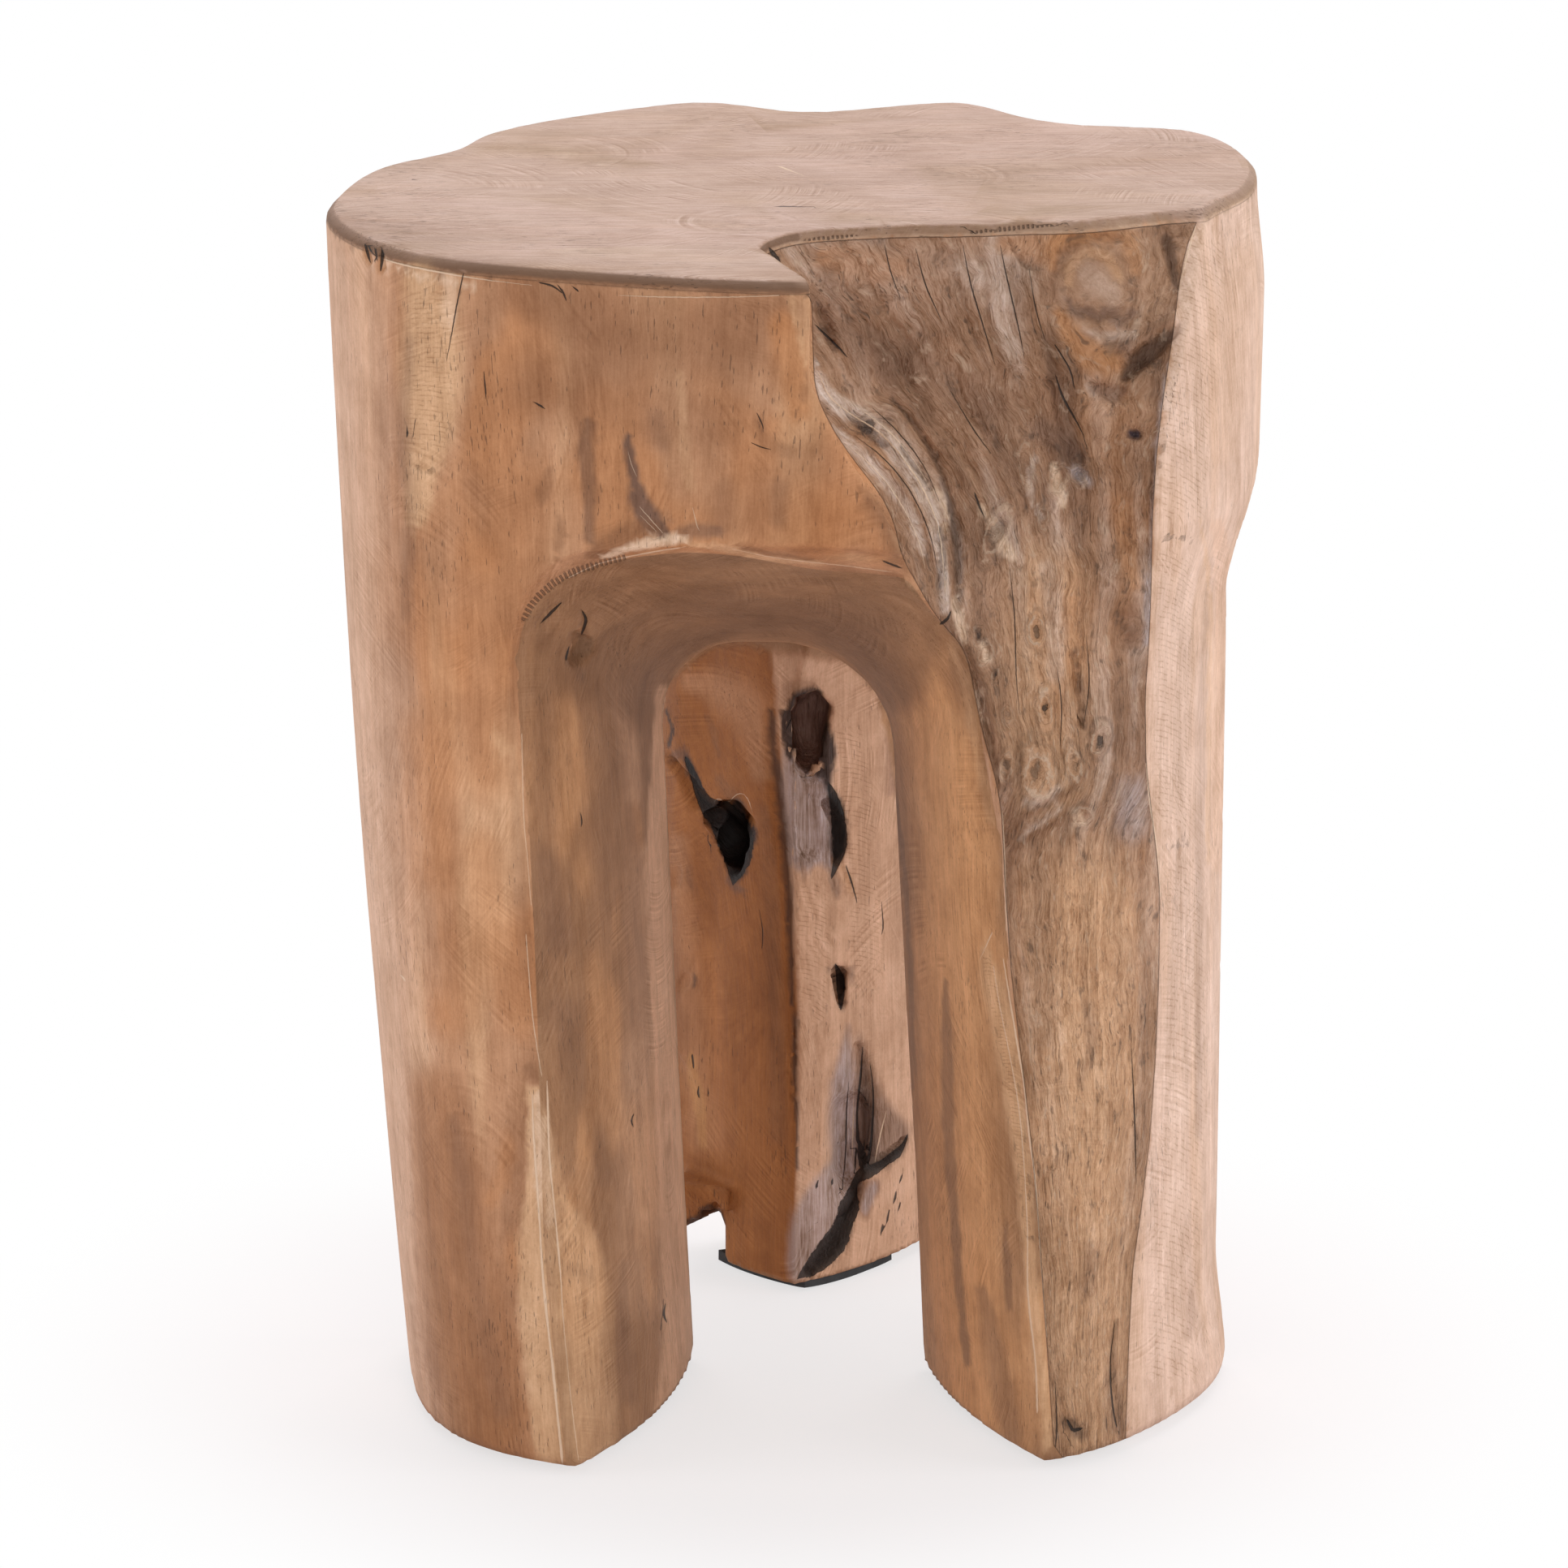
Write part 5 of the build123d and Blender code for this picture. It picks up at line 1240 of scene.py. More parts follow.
# Fine cross ripples of the plane and the saw, by zone: pitch and drop in metres, then the stroke that they fill
rippleBands = {
    "bark": [
        (0.0021, 0.009, [(1448, 680, 27), (1448, 800, 29), (1446, 900, 31), (1450, 1020, 29)]),
        (0.0021, 0.009, [(1484, 300, 30), (1478, 400, 34), (1464, 520, 36), (1454, 640, 34)]),
        (0.0024, 0.009, [(1458, 1060, 27), (1460, 1300, 32), (1450, 1500, 38), (1444, 1700, 36)]),
        (0.0018, 0.001, [(530, 360, 30), (532, 450, 36), (526, 560, 26)]),
    ],
    "arch": [
        (0.0014, 0.002, [(1216, 1180, 8), (1232, 1260, 9), (1248, 1340, 9), (1260, 1440, 8), (1268, 1520, 6)]),
    ],
    "flank": [
        (0.0014, 0.002, [(1216, 1180, 8), (1232, 1260, 9), (1248, 1340, 9), (1260, 1440, 8), (1268, 1520, 6)]),
    ],
    "rear": [
        (0.0018, 0.005, [(1045, 900, 22), (1058, 1000, 24), (1062, 1100, 26), (1070, 1200, 24)]),
        (0.0018, 0.005, [(1000, 1090, 22), (1004, 1180, 24), (1000, 1260, 20)]),
    ],
}


def rippleField(skin):
    # the phase of the ripples in turns, and how strong they are
    weights = zoneWeights(skin)
    field = np.zeros((len(skin["u"]), 3))
    for zone, pitch, drop, line in strokesOf(rippleBands):
        near, signed, past, width, along = strokeField(skin["u"], skin["v"], line)
        share = signed / width
        strength = ease(1.0, 0.6, np.hypot(signed, past) / width) * weights[zone][near]
        here = strength > field[near, 1]
        phase = (along * pixelSize - drop * (share / 2 + 0.5) ** 2) / pitch
        field[near[here], 0] = phase[here]
        field[near[here], 1] = strength[here]
    return field


def storeField(mesh, name, values):
    kind = "FLOAT_VECTOR" if values.ndim == 2 else "FLOAT"
    field = mesh.attributes.new(name, kind, "POINT")
    field.data.foreach_set("vector" if values.ndim == 2 else "value", values.astype(np.float32).ravel())


def knotField(skin):
    # distance from the nearest knot in its own size, then the strength of its core and ring
    field = np.tile((4.0, 0.0, 0.0), (len(skin["u"]), 1))
    for knot in flankKnots:
        far = np.hypot(*knotSpans(skin["u"], skin["v"], knot))
        here = far < field[:, 0]
        field[here, 0] = far[here]
        field[here, 1:] = knot[6:8]
    return field


def storeSkin(log):
    points, normals = readSkin(log.data)
    skin = survey(points, normals)
    mesh = log.data
    evenOut(mesh, skin["insideSide"][:, None], skin["hidden"], shaping["borderRounds"])
    layers, torn = paintSkin(skin)
    for name, colours in layers.items():
        tint = mesh.attributes.new(name, "FLOAT_COLOR", "POINT")
        tint.data.foreach_set("color", np.column_stack((colours, np.ones(len(points)))).astype(np.float32).ravel())
    grain, flankGrain = grainPlaces(skin)
    storeField(mesh, "grain", grain)
    storeField(mesh, "flankGrain", flankGrain)
    storeField(mesh, "zones", np.column_stack((skin["seat"], skin["flankSide"], skin["insideSide"])))
    leftRim = np.where(skin["u"] < 985, 0.6 + 0.4 * ease(470, 640, skin["u"]), 0.45)
    rimDepth = np.where(points[:, 1] > 0.02, 0.35, leftRim)
    ridge = np.where(skin["rear"] > 0.1, ease(2, 7, np.abs(skin["u"] - edgeAt("ridge", skin["v"]))), 1.0)
    storeField(mesh, "marks", np.column_stack((torn, rimDepth, ridge)))
    storeField(mesh, "ripples", rippleField(skin))
    storeField(mesh, "knots", knotField(skin))
    for name, values in lineFields(skin).items():
        storeField(mesh, name, values)


# Shader helpers
def put(tree, kind, inputs=None, **settings):
    made = tree.nodes.new(kind)
    for name, value in settings.items():
        setattr(made, name, value)
    for name, value in (inputs or {}).items():
        if isinstance(value, bpy.types.NodeSocket):
            tree.links.new(value, made.inputs[name])
        else:
            made.inputs[name].default_value = value
    return made


def calc(tree, operation, *values, clamp=False):
    made = put(tree, "ShaderNodeMath", dict(enumerate(values)), operation=operation, use_clamp=clamp)
    return made.outputs[0]


def reach(tree, value, low, high, newLow=0.0, newHigh=1.0):
    inputs = {"Value": value, "From Min": low, "From Max": high, "To Min": newLow, "To Max": newHigh}
    return put(tree, "ShaderNodeMapRange", inputs, interpolation_type="SMOOTHSTEP").outputs[0]


def mixColour(tree, share, first, second, kind="MIX"):
    made = put(tree, "ShaderNodeMix", {0: share, 6: first, 7: second}, data_type="RGBA", blend_type=kind)
    return made.outputs[2]


def stretched(tree, vector, across, along):
    size = put(tree, "ShaderNodeCombineXYZ", {0: across, 1: across, 2: along}).outputs[0]
    return put(tree, "ShaderNodeVectorMath", {0: vector, 1: size}, operation="DIVIDE").outputs[0]


def startGroup(name, inputs, outputs):
    tree = bpy.data.node_groups.new(name, "ShaderNodeTree")
    for label, kind in inputs:
        tree.interface.new_socket(label, in_out="INPUT", socket_type=kind)
    for label, kind in outputs:
        tree.interface.new_socket(label, in_out="OUTPUT", socket_type=kind)
    return tree, tree.nodes.new("NodeGroupInput").outputs, tree.nodes.new("NodeGroupOutput").inputs


def placeGroup(tree, group, inputs):
    return put(tree, "ShaderNodeGroup", inputs, node_tree=group).outputs[0]


def chain(tree, operation, values):
    # one operation over all the values, from the first to the last
    return functools.reduce(lambda first, second: calc(tree, operation, first, second), values)


def lumps(tree, where, scale, detail, roughness=0.5, kind="3D"):
    inputs = {"W" if kind == "1D" else "Vector": where, "Scale": scale, "Detail": detail, "Roughness": roughness}
    return put(tree, "ShaderNodeTexNoise", inputs, noise_dimensions=kind).outputs["Fac"]


def vectorCalc(tree, operation, first, second=None, scale=1.0):
    inputs = {0: first, 3: scale} if operation == "SCALE" else {0: first, 1: second}
    return put(tree, "ShaderNodeVectorMath", inputs, operation=operation).outputs[0]


floatSocket, vectorSocket = "NodeSocketFloat", "NodeSocketVector"


def makeFibreGroup():
    inputs = [("Grain", vectorSocket), ("Across", floatSocket), ("Along", floatSocket), ("Detail", floatSocket)]
    tree, given, out = startGroup("woodFibres", inputs, [("Fibres", floatSocket)])
    place = stretched(tree, given["Grain"], given["Across"], given["Along"])
    tree.links.new(lumps(tree, place, 1.0, given["Detail"], 0.6), out["Fibres"])
    return tree


def makeCheckGroup():
    # short dark pores and checks that lie along the grain
    inputs = [("Grain", vectorSocket), ("Across", floatSocket), ("Along", floatSocket), ("Amount", floatSocket)]
    tree, given, out = startGroup("woodChecks", inputs, [("Checks", floatSocket)])
    place = stretched(tree, given["Grain"], given["Across"], given["Along"])
    where = lumps(tree, given["Grain"], 28.0, 1.0)
    edge = calc(tree, "SUBTRACT", 0.86, calc(tree, "MULTIPLY", where, given["Amount"]))
    over = calc(tree, "SUBTRACT", lumps(tree, place, 1.0, 1.5), edge)
    tree.links.new(calc(tree, "MULTIPLY", over, 14.0, clamp=True), out["Checks"])
    return tree


def makeArcGroup():
    # patches of fine curved lines, as a sanding disc or a saw leaves them
    inputs = [("Place", vectorSocket), ("Patch", floatSocket), ("Pitch", floatSocket)]
    tree, given, out = startGroup("sandingArcs", inputs, [("Arcs", floatSocket)])
    patch = given["Patch"]
    whole = stretched(tree, given["Place"], patch, patch)
    cells = put(tree, "ShaderNodeTexVoronoi", {"Vector": whole, "Scale": 1.0}, feature="F1")
    borders = put(tree, "ShaderNodeTexVoronoi", {"Vector": whole, "Scale": 1.0}, feature="DISTANCE_TO_EDGE")
    away = vectorCalc(tree, "SUBTRACT", cells.outputs["Color"], (0.5, 0.5, 0.5))
    centre = vectorCalc(tree, "ADD", cells.outputs["Position"], vectorCalc(tree, "SCALE", away, scale=7.0))
    far = put(tree, "ShaderNodeVectorMath", {0: whole, 1: centre}, operation="DISTANCE").outputs[1]
    turns = calc(tree, "DIVIDE", calc(tree, "MULTIPLY", far, patch), given["Pitch"])
    lines = calc(tree, "SUBTRACT", lumps(tree, turns, 1.0, 2.0, 0.7, "1D"), 0.5)
    broken = reach(tree, lumps(tree, whole, 4.0, 3.0, 0.6), 0.38, 0.60)
    fade = reach(tree, borders.outputs["Distance"], 0.0, 0.16)
    tree.links.new(chain(tree, "MULTIPLY", (lines, fade, broken)), out["Arcs"])
    return tree


def makeLineGroup():
    # a drawn line kept as signed distance and half width in mm, with a slightly ragged edge
    inputs = [("Line", vectorSocket), ("Wander", floatSocket), ("Feather", floatSocket)]
    tree, given, out = startGroup("fineLine", inputs, [("Mask", floatSocket)])
    parts = put(tree, "ShaderNodeSeparateXYZ", {0: given["Line"]}).outputs
    wider = calc(tree, "MAXIMUM", calc(tree, "MULTIPLY", parts[1], 1.6), 1.0)  # wide ones are more ragged
    far = calc(tree, "ABSOLUTE", calc(tree, "ADD", parts[0], calc(tree, "MULTIPLY", given["Wander"], wider)))
    inside = calc(tree, "DIVIDE", calc(tree, "SUBTRACT", parts[1], far), given["Feather"])
    tree.links.new(calc(tree, "MULTIPLY", calc(tree, "MAXIMUM", inside, 0.0), 1.0, clamp=True), out["Mask"])
    return tree


def startMaterial(name):
    material = bpy.data.materials.new(name)
    material.use_nodes = True
    tree = material.node_tree
    tree.nodes.clear()
    shader = put(tree, "ShaderNodeBsdfPrincipled")
    put(tree, "ShaderNodeOutputMaterial", {0: shader.outputs[0]}, name="last")
    return material, tree, shader


teakSettings = {
    "balance": ((1.035, 0.80), (1.09, 1.04), (1.13, 1.32)),  # red, green, blue: share, and power of the light and dark
    "onTop": (0.4454, 0.4458),  # heights between which the sides end and the seat begins
    "fibres": {"fine": (0.0008, 0.012, 3.0), "middle": (0.0026, 0.040, 4.0), "broad": (0.011, 0.12, 3.0)},
    "clouds": {"cloudy": (36.0, 4.0), "dapple": (150.0, 3.0), "speck": (1000.0, 2.0)},
    "checks": {"pores": (0.0006, 0.0050, 0.33), "splits": (0.0014, 0.024, 0.33), "seatMarks": (0.0011, 0.015, 0.34)},
    "arcs": {"seat": (0.045, 0.0009), "inside": (0.060, 0.0013)},  # size of a patch and pitch in metres
    "pits": (0.0042, 0.0085),
    "feathers": {"dark": 0.22, "pale": 0.28, "teeth": 0.6},  # soft edge of the fine lines in mm
    "sawPitch": 3.6,
    # how much each pattern lightens and darkens the sawn wood, the seat, the flank and, on top of that, torn wood
    "light": {
        "fine": (0.45, 0.75, 1.25, 1.2),
        "middle": (0.55, 0.45, 1.35, 0.9),
        "broad": (0.65, 0.30, 0.80, 0.2),
        "cloudy": (0.55, 0.30, 0.75, 0.2),
        "dapple": (0.40, 0.25, 0.60, 0.3),
    },
    "relief": {"fine": (0.16, 0.10, 0.60, 0.35), "middle": (0.20, 0.06, 2.20, 0.9)},  # in mm, in the same order
    "gnarl": (62.0, 0.0075),  # scale of the flank's gnarled grain, and how far it wanders in metres
    "roughness": 0.62,
    # near black of cracks, knot cores and the fine dark lines; where those lines fill the hollows or run under the
    # ceiling it is painted shade
    "nearBlackAndShade": (0.012, 0.008, 0.007, 1),
    "check": (0.060, 0.034, 0.022, 1),
    # colour of the pale lines: pale fibres and sanded wood, and on the lip, the seat's edge and the front-right reveal
    # a painted highlight
    "pale": (0.78, 0.58, 0.41, 1),
    "ring": (0.58, 0.42, 0.30, 1),
    "mark": (0.20, 0.125, 0.075, 1),
    "rim": (0.155, 0.082, 0.047, 1),
    "warm": (1.05, 0.93, 0.80, 1),
    "cool": (0.93, 0.93, 0.93, 1),
}


def makeTeak(groups):
    material, tree, shader = startMaterial("carvedTeak")
    place = put(tree, "ShaderNodeTexCoord").outputs["Object"]

    def attribute(name, output="Vector"):
        return put(tree, "ShaderNodeAttribute", attribute_name=name).outputs[output]

    def split(vector):
        return put(tree, "ShaderNodeSeparateXYZ", {0: vector}).outputs

    def join(first, second, third):
        return put(tree, "ShaderNodeCombineXYZ", {0: first, 1: second, 2: third}).outputs[0]

    def times(*values):
        return chain(tree, "MULTIPLY", values)

    def total(*values):
        return chain(tree, "ADD", values)

    def most(*values):
        return chain(tree, "MAXIMUM", values)

    def flip(value):
        return calc(tree, "SUBTRACT", 1.0, value)

    def signed(value, strength):
        return times(calc(tree, "SUBTRACT", value, 0.5), strength)

    def soft(scale, detail):
        return lumps(tree, place, scale, detail, 0.6)

    def band(value, middle, wide, narrow):
        return reach(tree, calc(tree, "ABSOLUTE", calc(tree, "SUBTRACT", value, middle)), wide, narrow)

    def mixVector(share, first, second):
        return put(tree, "ShaderNodeMix", {0: share, 4: first, 5: second}, data_type="VECTOR").outputs[1]

    # where each kind of wood is
    east, north, height = split(place)
    seat, flankSide, insideSide = split(attribute("zones"))
    rough, rim, whole = split(attribute("marks"))
    onTop = reach(tree, height, *teakSettings["onTop"])
    inside = times(reach(tree, insideSide, -0.2, 0.2), flip(onTop))
    flank = times(reach(tree, flankSide, -0.2, 0.2), flip(onTop), flip(inside))
    tint = mixColour(tree, flank, attribute("tint", "Color"), attribute("tintFlank", "Color"))
    tint = mixColour(tree, inside, tint, attribute("tintInside", "Color"))

    # how the grain runs there
    gnarlScale, gnarlReach = teakSettings["gnarl"]
    gnarl = {"Vector": place, "Scale": gnarlScale, "Detail": 2.0, "Roughness": 0.55}
    gnarl = vectorCalc(tree, "SUBTRACT", put(tree, "ShaderNodeTexNoise", gnarl).outputs["Color"], (0.5, 0.5, 0.5))
    gnarled = vectorCalc(tree, "ADD", attribute("flankGrain"), vectorCalc(tree, "SCALE", gnarl, scale=gnarlReach))
    seatGrain = join(north, height, total(east, times(north, 0.25)))
    grain = mixVector(onTop, mixVector(flank, attribute("grain"), gnarled), seatGrain)

    def arcs(name):
        patch, pitch = teakSettings["arcs"][name]
        return placeGroup(tree, groups["arcs"], {"Place": place, "Patch": patch, "Pitch": pitch})

    def checks(name):
        across, along, amount = teakSettings["checks"][name]
        return placeGroup(tree, groups["checks"], {"Grain": grain, "Across": across, "Along": along, "Amount": amount})

    def varied(value, plain, onSeat, onFlank, onRough):
        # a pattern whose strength differs from zone to zone
        extra = (times(seat, onSeat - plain), times(flank, onFlank - plain), times(rough, onRough))
        return times(signed(value, 1.0), total(plain, *extra), whole)

    # knots: a dark core, rings and a pale halo
    knotFar, knotCore, knotRing = split(attribute("knots"))
    knotFar = total(knotFar, signed(soft(60.0, 2.0), 1.0), signed(soft(170.0, 2.0), 0.9), signed(soft(700.0, 2.0), 0.4))
    inKnot = times(reach(tree, knotFar, 1.35, 0.95), flank)
    ringNoise = lumps(tree, times(knotFar, 6.0), 1.0, 2.0, kind="1D")
    knotRings = times(signed(ringNoise, 1.1), inKnot, reach(tree, knotRing, 0.05, 0.3, 0.45, 1.0))
    core = times(reach(tree, knotFar, 0.58, 0.34), knotCore, flank)
    ring = times(band(knotFar, 0.92, 0.20, 0.03), knotRing, flank, reach(tree, soft(220.0, 2.0), 0.36, 0.58))
    halo = times(band(knotFar, 1.35, 0.30, 0.0), knotRing, flank)
    whole = times(whole, flip(times(inKnot, reach(tree, knotRing, 0.0, 0.6, 0.25, 0.75))))

    # fibres, clouds and the marks of the tools
    patterns = {}
    for name, (across, along, detail) in teakSettings["fibres"].items():
        inputs = {"Grain": grain, "Across": across, "Along": along, "Detail": detail}
        patterns[name] = placeGroup(tree, groups["fibres"], inputs)
    for name, (scale, detail) in teakSettings["clouds"].items():
        patterns[name] = soft(scale, detail)
    onSeat = times(arcs("seat"), total(0.35, times(seat, 0.75)))
    bare = flip(most(onTop, flank))
    onInside = times(arcs("inside"), bare, reach(tree, inside, 0.0, 1.0, 0.6, 0.95))
    scratches = total(onSeat, onInside)
    rippleTurns, rippleShare = split(attribute("ripples"))[:2]
    turned = total(times(rippleTurns, 2 * math.pi), signed(patterns["dapple"], 5.0))
    ripples = reach(tree, calc(tree, "SINE", turned), 0.45, 0.98)
    ripples = times(ripples, rippleShare, reach(tree, soft(260.0, 2.0), 0.38, 0.6))
    light = total(
        1.0,
        *(varied(patterns[name], *strengths) for name, strengths in teakSettings["light"].items()),
        signed(soft(14.0, 3.0), 0.45),
        knotRings,
        signed(patterns["speck"], 0.26),
        scratches,
        times(ripples, -0.19),
    )
    light = most(light, 0.05)
    bright = join(*(times(calc(tree, "POWER", light, power), share) for share, power in teakSettings["balance"]))

    pores = times(checks("pores"), whole)
    splits = times(checks("splits"), flank, whole)
    seatMarks = times(checks("seatMarks"), onTop)
    pits = lumps(tree, stretched(tree, grain, *teakSettings["pits"]), 1.0, 3.0, 0.65)
    edge = total(height, signed(patterns["dapple"], 0.0012))
    rimBand = times(reach(tree, edge, 0.4462, 0.4474), reach(tree, height, 0.4498, 0.4490), rim)
    ragged = soft(420.0, 3.0)

    def lines(kind):
        # all the sets of one kind of line
        feather = teakSettings["feathers"][kind]
        inputs = {"Wander": signed(ragged, feather * 1.6), "Feather": feather}
        names = [name for name in lineSets if name.startswith(kind)]
        return most(*(placeGroup(tree, groups["line"], {"Line": attribute(name), **inputs}) for name in names))

    dark, pale = lines("dark"), lines("pale")
    alongSaw = split(attribute("teeth"))[2]
    saw = reach(tree, calc(tree, "SINE", times(alongSaw, teakSettings["sawPitch"])), -0.3, 0.6)
    teeth = times(lines("teeth"), saw)

    colour = mixColour(tree, 1.0, tint, bright, "MULTIPLY")
    for share, name in (
        (times(reach(tree, patterns["broad"], 0.42, 0.72), 0.22), "warm"),
        (times(reach(tree, patterns["cloudy"], 0.58, 0.38), 0.5), "cool"),
    ):
        colour = mixColour(tree, share, colour, teakSettings[name], "MULTIPLY")
    for share, name in (
        (times(pores, 0.45), "check"),
        (times(splits, 0.6), "check"),
        (times(reach(tree, pits, 0.56, 0.74), flank, 0.60), "check"),
        (times(reach(tree, pits, 0.42, 0.28), flank, 0.45), "ring"),
        (times(seatMarks, 0.55), "mark"),
        (times(halo, 0.30), "check"),
        (times(ring, 0.75), "ring"),
        (times(core, 0.85), "nearBlackAndShade"),
        (times(rimBand, 0.85), "rim"),
        (times(pale, 0.85), "pale"),
        (times(dark, 0.90), "nearBlackAndShade"),
        (times(teeth, 0.55), "check"),
    ):
        colour = mixColour(tree, share, colour, teakSettings[name])
    tree.links.new(colour, shader.inputs["Base Color"])

    relief = total(
        *(varied(patterns[name], *strengths) for name, strengths in teakSettings["relief"].items()),
        times(signed(pits, -2.2), flank),
        signed(patterns["speck"], 0.05),
        times(scratches, 0.15),
        times(ripples, -0.10),
        times(most(pores, splits), -0.25),
        times(most(dark, teeth), -0.8),
        times(pale, 0.15),
        times(knotRings, 0.8),
        times(ring, 0.5),
        times(core, -0.9),
    )
    bump = put(tree, "ShaderNodeBump", {"Height": relief, "Strength": 1.0, "Distance": 0.001})
    tree.links.new(bump.outputs[0], shader.inputs["Normal"])
    gloss = total(teakSettings["roughness"], signed(patterns["middle"], 0.25), times(flank, -0.06))
    tree.links.new(gloss, shader.inputs["Roughness"])
    shader.inputs["Specular IOR Level"].default_value = 0.25
    return material


# Rubber pads: slabs cut from sheet, with curled corners and worn edges
padSettings = {
    "turns": {"front_left": 75, "front_right": 15, "rear": 135},  # degrees
    "grid": 0.00408,  # the slab is cut into squares of this side, so that it can bend
    "curl": 0.0016,
    "curlFrom": 0.62,  # share of the half width where the curl begins
    "uneven": 0.0004,
    "colour": (0.016, 0.016, 0.018, 1),
    "dust": (0.09, 0.08, 0.075, 1),
}


def makePad(leg, material):
    node = f"{leg}_pad"
    low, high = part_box(node)
    centre = Vector(((low[0] + high[0]) / 2, (low[1] + high[1]) / 2, 0))
    bm = bmesh.new()
    bm.from_mesh(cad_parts[node].data)
    bmesh.ops.remove_doubles(bm, verts=bm.verts, dist=1e-6)
    turn = padSettings["turns"][leg]
    for degrees in (turn, turn + 90):
        across = Vector((math.cos(math.radians(degrees)), math.sin(math.radians(degrees)), 0))
        for step in range(-5, 6):
            everything = bm.verts[:] + bm.edges[:] + bm.faces[:]
            place = centre + across * step * padSettings["grid"]
            bmesh.ops.bisect_plane(bm, geom=everything, dist=1e-7, plane_co=place, plane_no=across)
    half = (high[0] - low[0]) / 2
    for vert in bm.verts:
        away = (vert.co - centre).to_2d().length / half
        lift = (max(0.0, away - padSettings["curlFrom"]) / (1 - padSettings["curlFrom"])) ** 2
        vert.co.z += padSettings["curl"] * lift
        wave = noise.noise_vector(vert.co * 90)
        vert.co.x += padSettings["uneven"] * wave.x
        vert.co.y += padSettings["uneven"] * wave.y
    mesh = bpy.data.meshes.new(f"{leg}RubberPad")
    bm.to_mesh(mesh)
    bm.free()
    pad = bpy.data.objects.new(f"{leg}RubberPad", mesh)
    bpy.context.collection.objects.link(pad)
    mesh.materials.append(material)
    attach(pad, "root")
    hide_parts(node)
    return pad


def makeRubber():
    material, tree, shader = startMaterial("blackRubber")
    place = put(tree, "ShaderNodeTexCoord").outputs["Object"]
    worn = lumps(tree, place, 120.0, 4.0)
    grit = lumps(tree, place, 1500.0, 2.0)
    dust = calc(tree, "MULTIPLY", reach(tree, worn, 0.5, 0.75), 0.5)
    tree.links.new(mixColour(tree, dust, padSettings["colour"], padSettings["dust"]), shader.inputs["Base Color"])
    tree.links.new(reach(tree, worn, 0.3, 0.7, 0.6, 0.85), shader.inputs["Roughness"])
    bump = put(tree, "ShaderNodeBump", {"Height": grit, "Strength": 0.5, "Distance": 0.0002})
    tree.links.new(bump.outputs[0], shader.inputs["Normal"])
    return material


steelSettings = {"clean": (0.42, 0.42, 0.43, 1), "rust": (0.20, 0.12, 0.08, 1)}


def makeSteel():
    material, tree, shader = startMaterial("tackSteel")
    place = put(tree, "ShaderNodeTexCoord").outputs["Object"]
    spots = lumps(tree, place, 400.0, 4.0)
    rust = reach(tree, spots, 0.55, 0.75)
    tree.links.new(mixColour(tree, rust, steelSettings["clean"], steelSettings["rust"]), shader.inputs["Base Color"])
    tree.links.new(reach(tree, spots, 0.3, 0.7, 0.3, 0.6), shader.inputs["Roughness"])
    tree.links.new(reach(tree, rust, 0.0, 1.0, 1.0, 0.3), shader.inputs["Metallic"])
    return material


# Studio: pale floor, soft lamps from above, both sides and the front
studio = {
    "floorSize": 12.0,
    "floorColour": (0.94, 0.85, 0.865, 1),
    "whiteFrom": 0.155,
    "whiteTo": 0.33,
    "lowestWhite": 0.67,
    "world": 0.40,
    "lamps": [
        # name, place, target, side in metres, watts
        ("overhead", (0.1, 1.2, 2.4), (0, 0, 0.3), 2.2, 40),
        ("leftSide", (-2.4, -0.6, 1.0), (0, 0, 0.25), 1.5, 16),
        ("rightSide", (2.2, -0.6, 1.0), (0, 0, 0.25), 1.5, 20),
        ("frontFill", (0.4, -3.6, 1.6), (0, 0, 0.2), 1.6, 28),
    ],
}


def watchedRays(tree):
    # the rays that see the background: the camera's own, and those in gloss and glass
    rays = put(tree, "ShaderNodeLightPath").outputs
    return chain(tree, "MAXIMUM", [rays[name] for name in ("Is Camera Ray", "Is Glossy Ray", "Is Transmission Ray")])


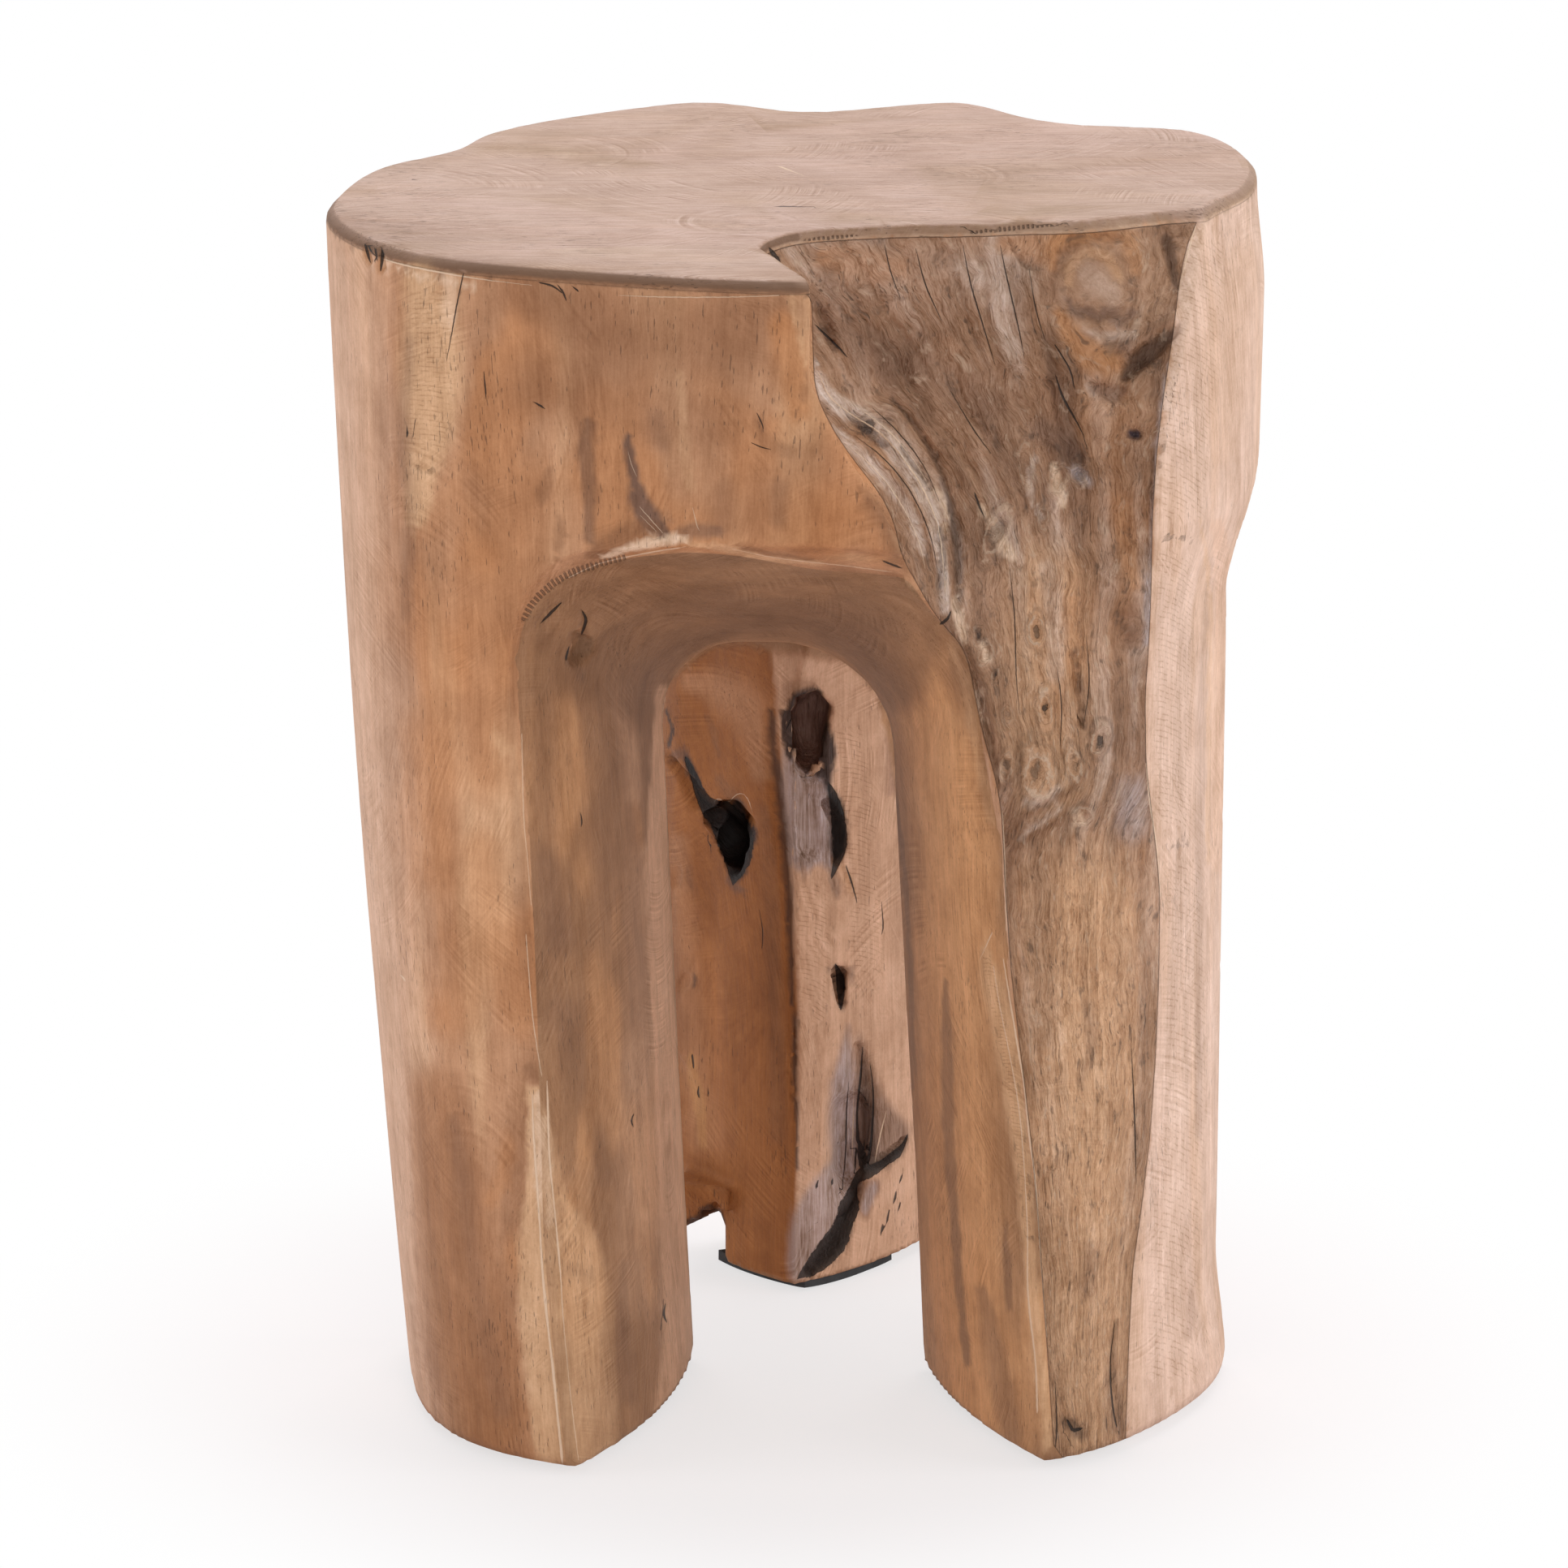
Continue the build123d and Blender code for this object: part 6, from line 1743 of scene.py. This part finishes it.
def makeStudio():
    bm = bmesh.new()
    bmesh.ops.create_grid(bm, x_segments=1, y_segments=1, size=studio["floorSize"] / 2)
    bmesh.ops.translate(bm, verts=bm.verts, vec=(0, 0, -0.0002))
    mesh = bpy.data.meshes.new("studioFloor")
    bm.to_mesh(mesh)
    bm.free()
    floor = bpy.data.objects.new("studioFloor", mesh)
    bpy.context.collection.objects.link(floor)
    material, tree, shader = startMaterial("paleFloor")
    shader.inputs["Base Color"].default_value = studio["floorColour"]
    shader.inputs["Roughness"].default_value = 0.9
    shader.inputs["Specular IOR Level"].default_value = 0.1
    place = put(tree, "ShaderNodeTexCoord").outputs["Object"]
    far = put(tree, "ShaderNodeVectorMath", {0: place}, operation="LENGTH").outputs[1]
    share = reach(tree, far, studio["whiteFrom"], studio["whiteTo"], studio["lowestWhite"])
    share = calc(tree, "MULTIPLY", share, watchedRays(tree))
    white = put(tree, "ShaderNodeEmission", {"Color": (1, 1, 1, 1), "Strength": 1.0}).outputs[0]
    both = put(tree, "ShaderNodeMixShader", {0: share, 1: shader.outputs[0], 2: white}).outputs[0]
    tree.links.new(both, tree.nodes["last"].inputs[0])
    mesh.materials.append(material)
    world = bpy.data.worlds.new("studioAir")
    bpy.context.scene.world = world
    world.use_nodes = True
    air = world.node_tree
    air.nodes.clear()
    soft = put(air, "ShaderNodeBackground", {"Color": (1, 1, 1, 1), "Strength": studio["world"]}).outputs[0]
    plain = put(air, "ShaderNodeBackground", {"Color": (1, 1, 1, 1), "Strength": 1.0}).outputs[0]
    both = put(air, "ShaderNodeMixShader", {0: watchedRays(air), 1: soft, 2: plain}).outputs[0]
    put(air, "ShaderNodeOutputWorld", {0: both})
    for name, where, target, side, power in studio["lamps"]:
        light = bpy.data.lights.new(name, "AREA")
        light.shape = "SQUARE"
        light.size = side
        light.energy = power
        lamp = bpy.data.objects.new(name, light)
        lamp.location = where
        lamp.rotation_euler = (Vector(target) - Vector(where)).to_track_quat("-Z", "Y").to_euler()
        bpy.context.collection.objects.link(lamp)
    bpy.context.scene.view_settings.view_transform = "Standard"


makeCamera()
log = makeSkin()
print("log skin made:", len(log.data.vertices), "vertices")
carveSkin(log)
print("log carved:", len(log.data.vertices), "vertices,", len(log.data.polygons), "faces")
storeSkin(log)
print("log painted")
woodGroups = {"fibres": makeFibreGroup(), "checks": makeCheckGroup(), "arcs": makeArcGroup(), "line": makeLineGroup()}
log.data.materials.clear()
log.data.materials.append(makeTeak(woodGroups))
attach(log, "root")
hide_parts("log_body")
print("teak ready")
rubber = makeRubber()
for leg in ("front_left", "front_right", "rear"):
    makePad(leg, rubber)
steel = makeSteel()
for name in tackNodes():
    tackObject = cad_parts[name]
    if tackObject.material_slots:
        for materialSlot in tackObject.material_slots:
            materialSlot.material = steel
    else:
        tackObject.data.materials.append(steel)
print("pads and tacks ready")
makeStudio()
print("studio ready")
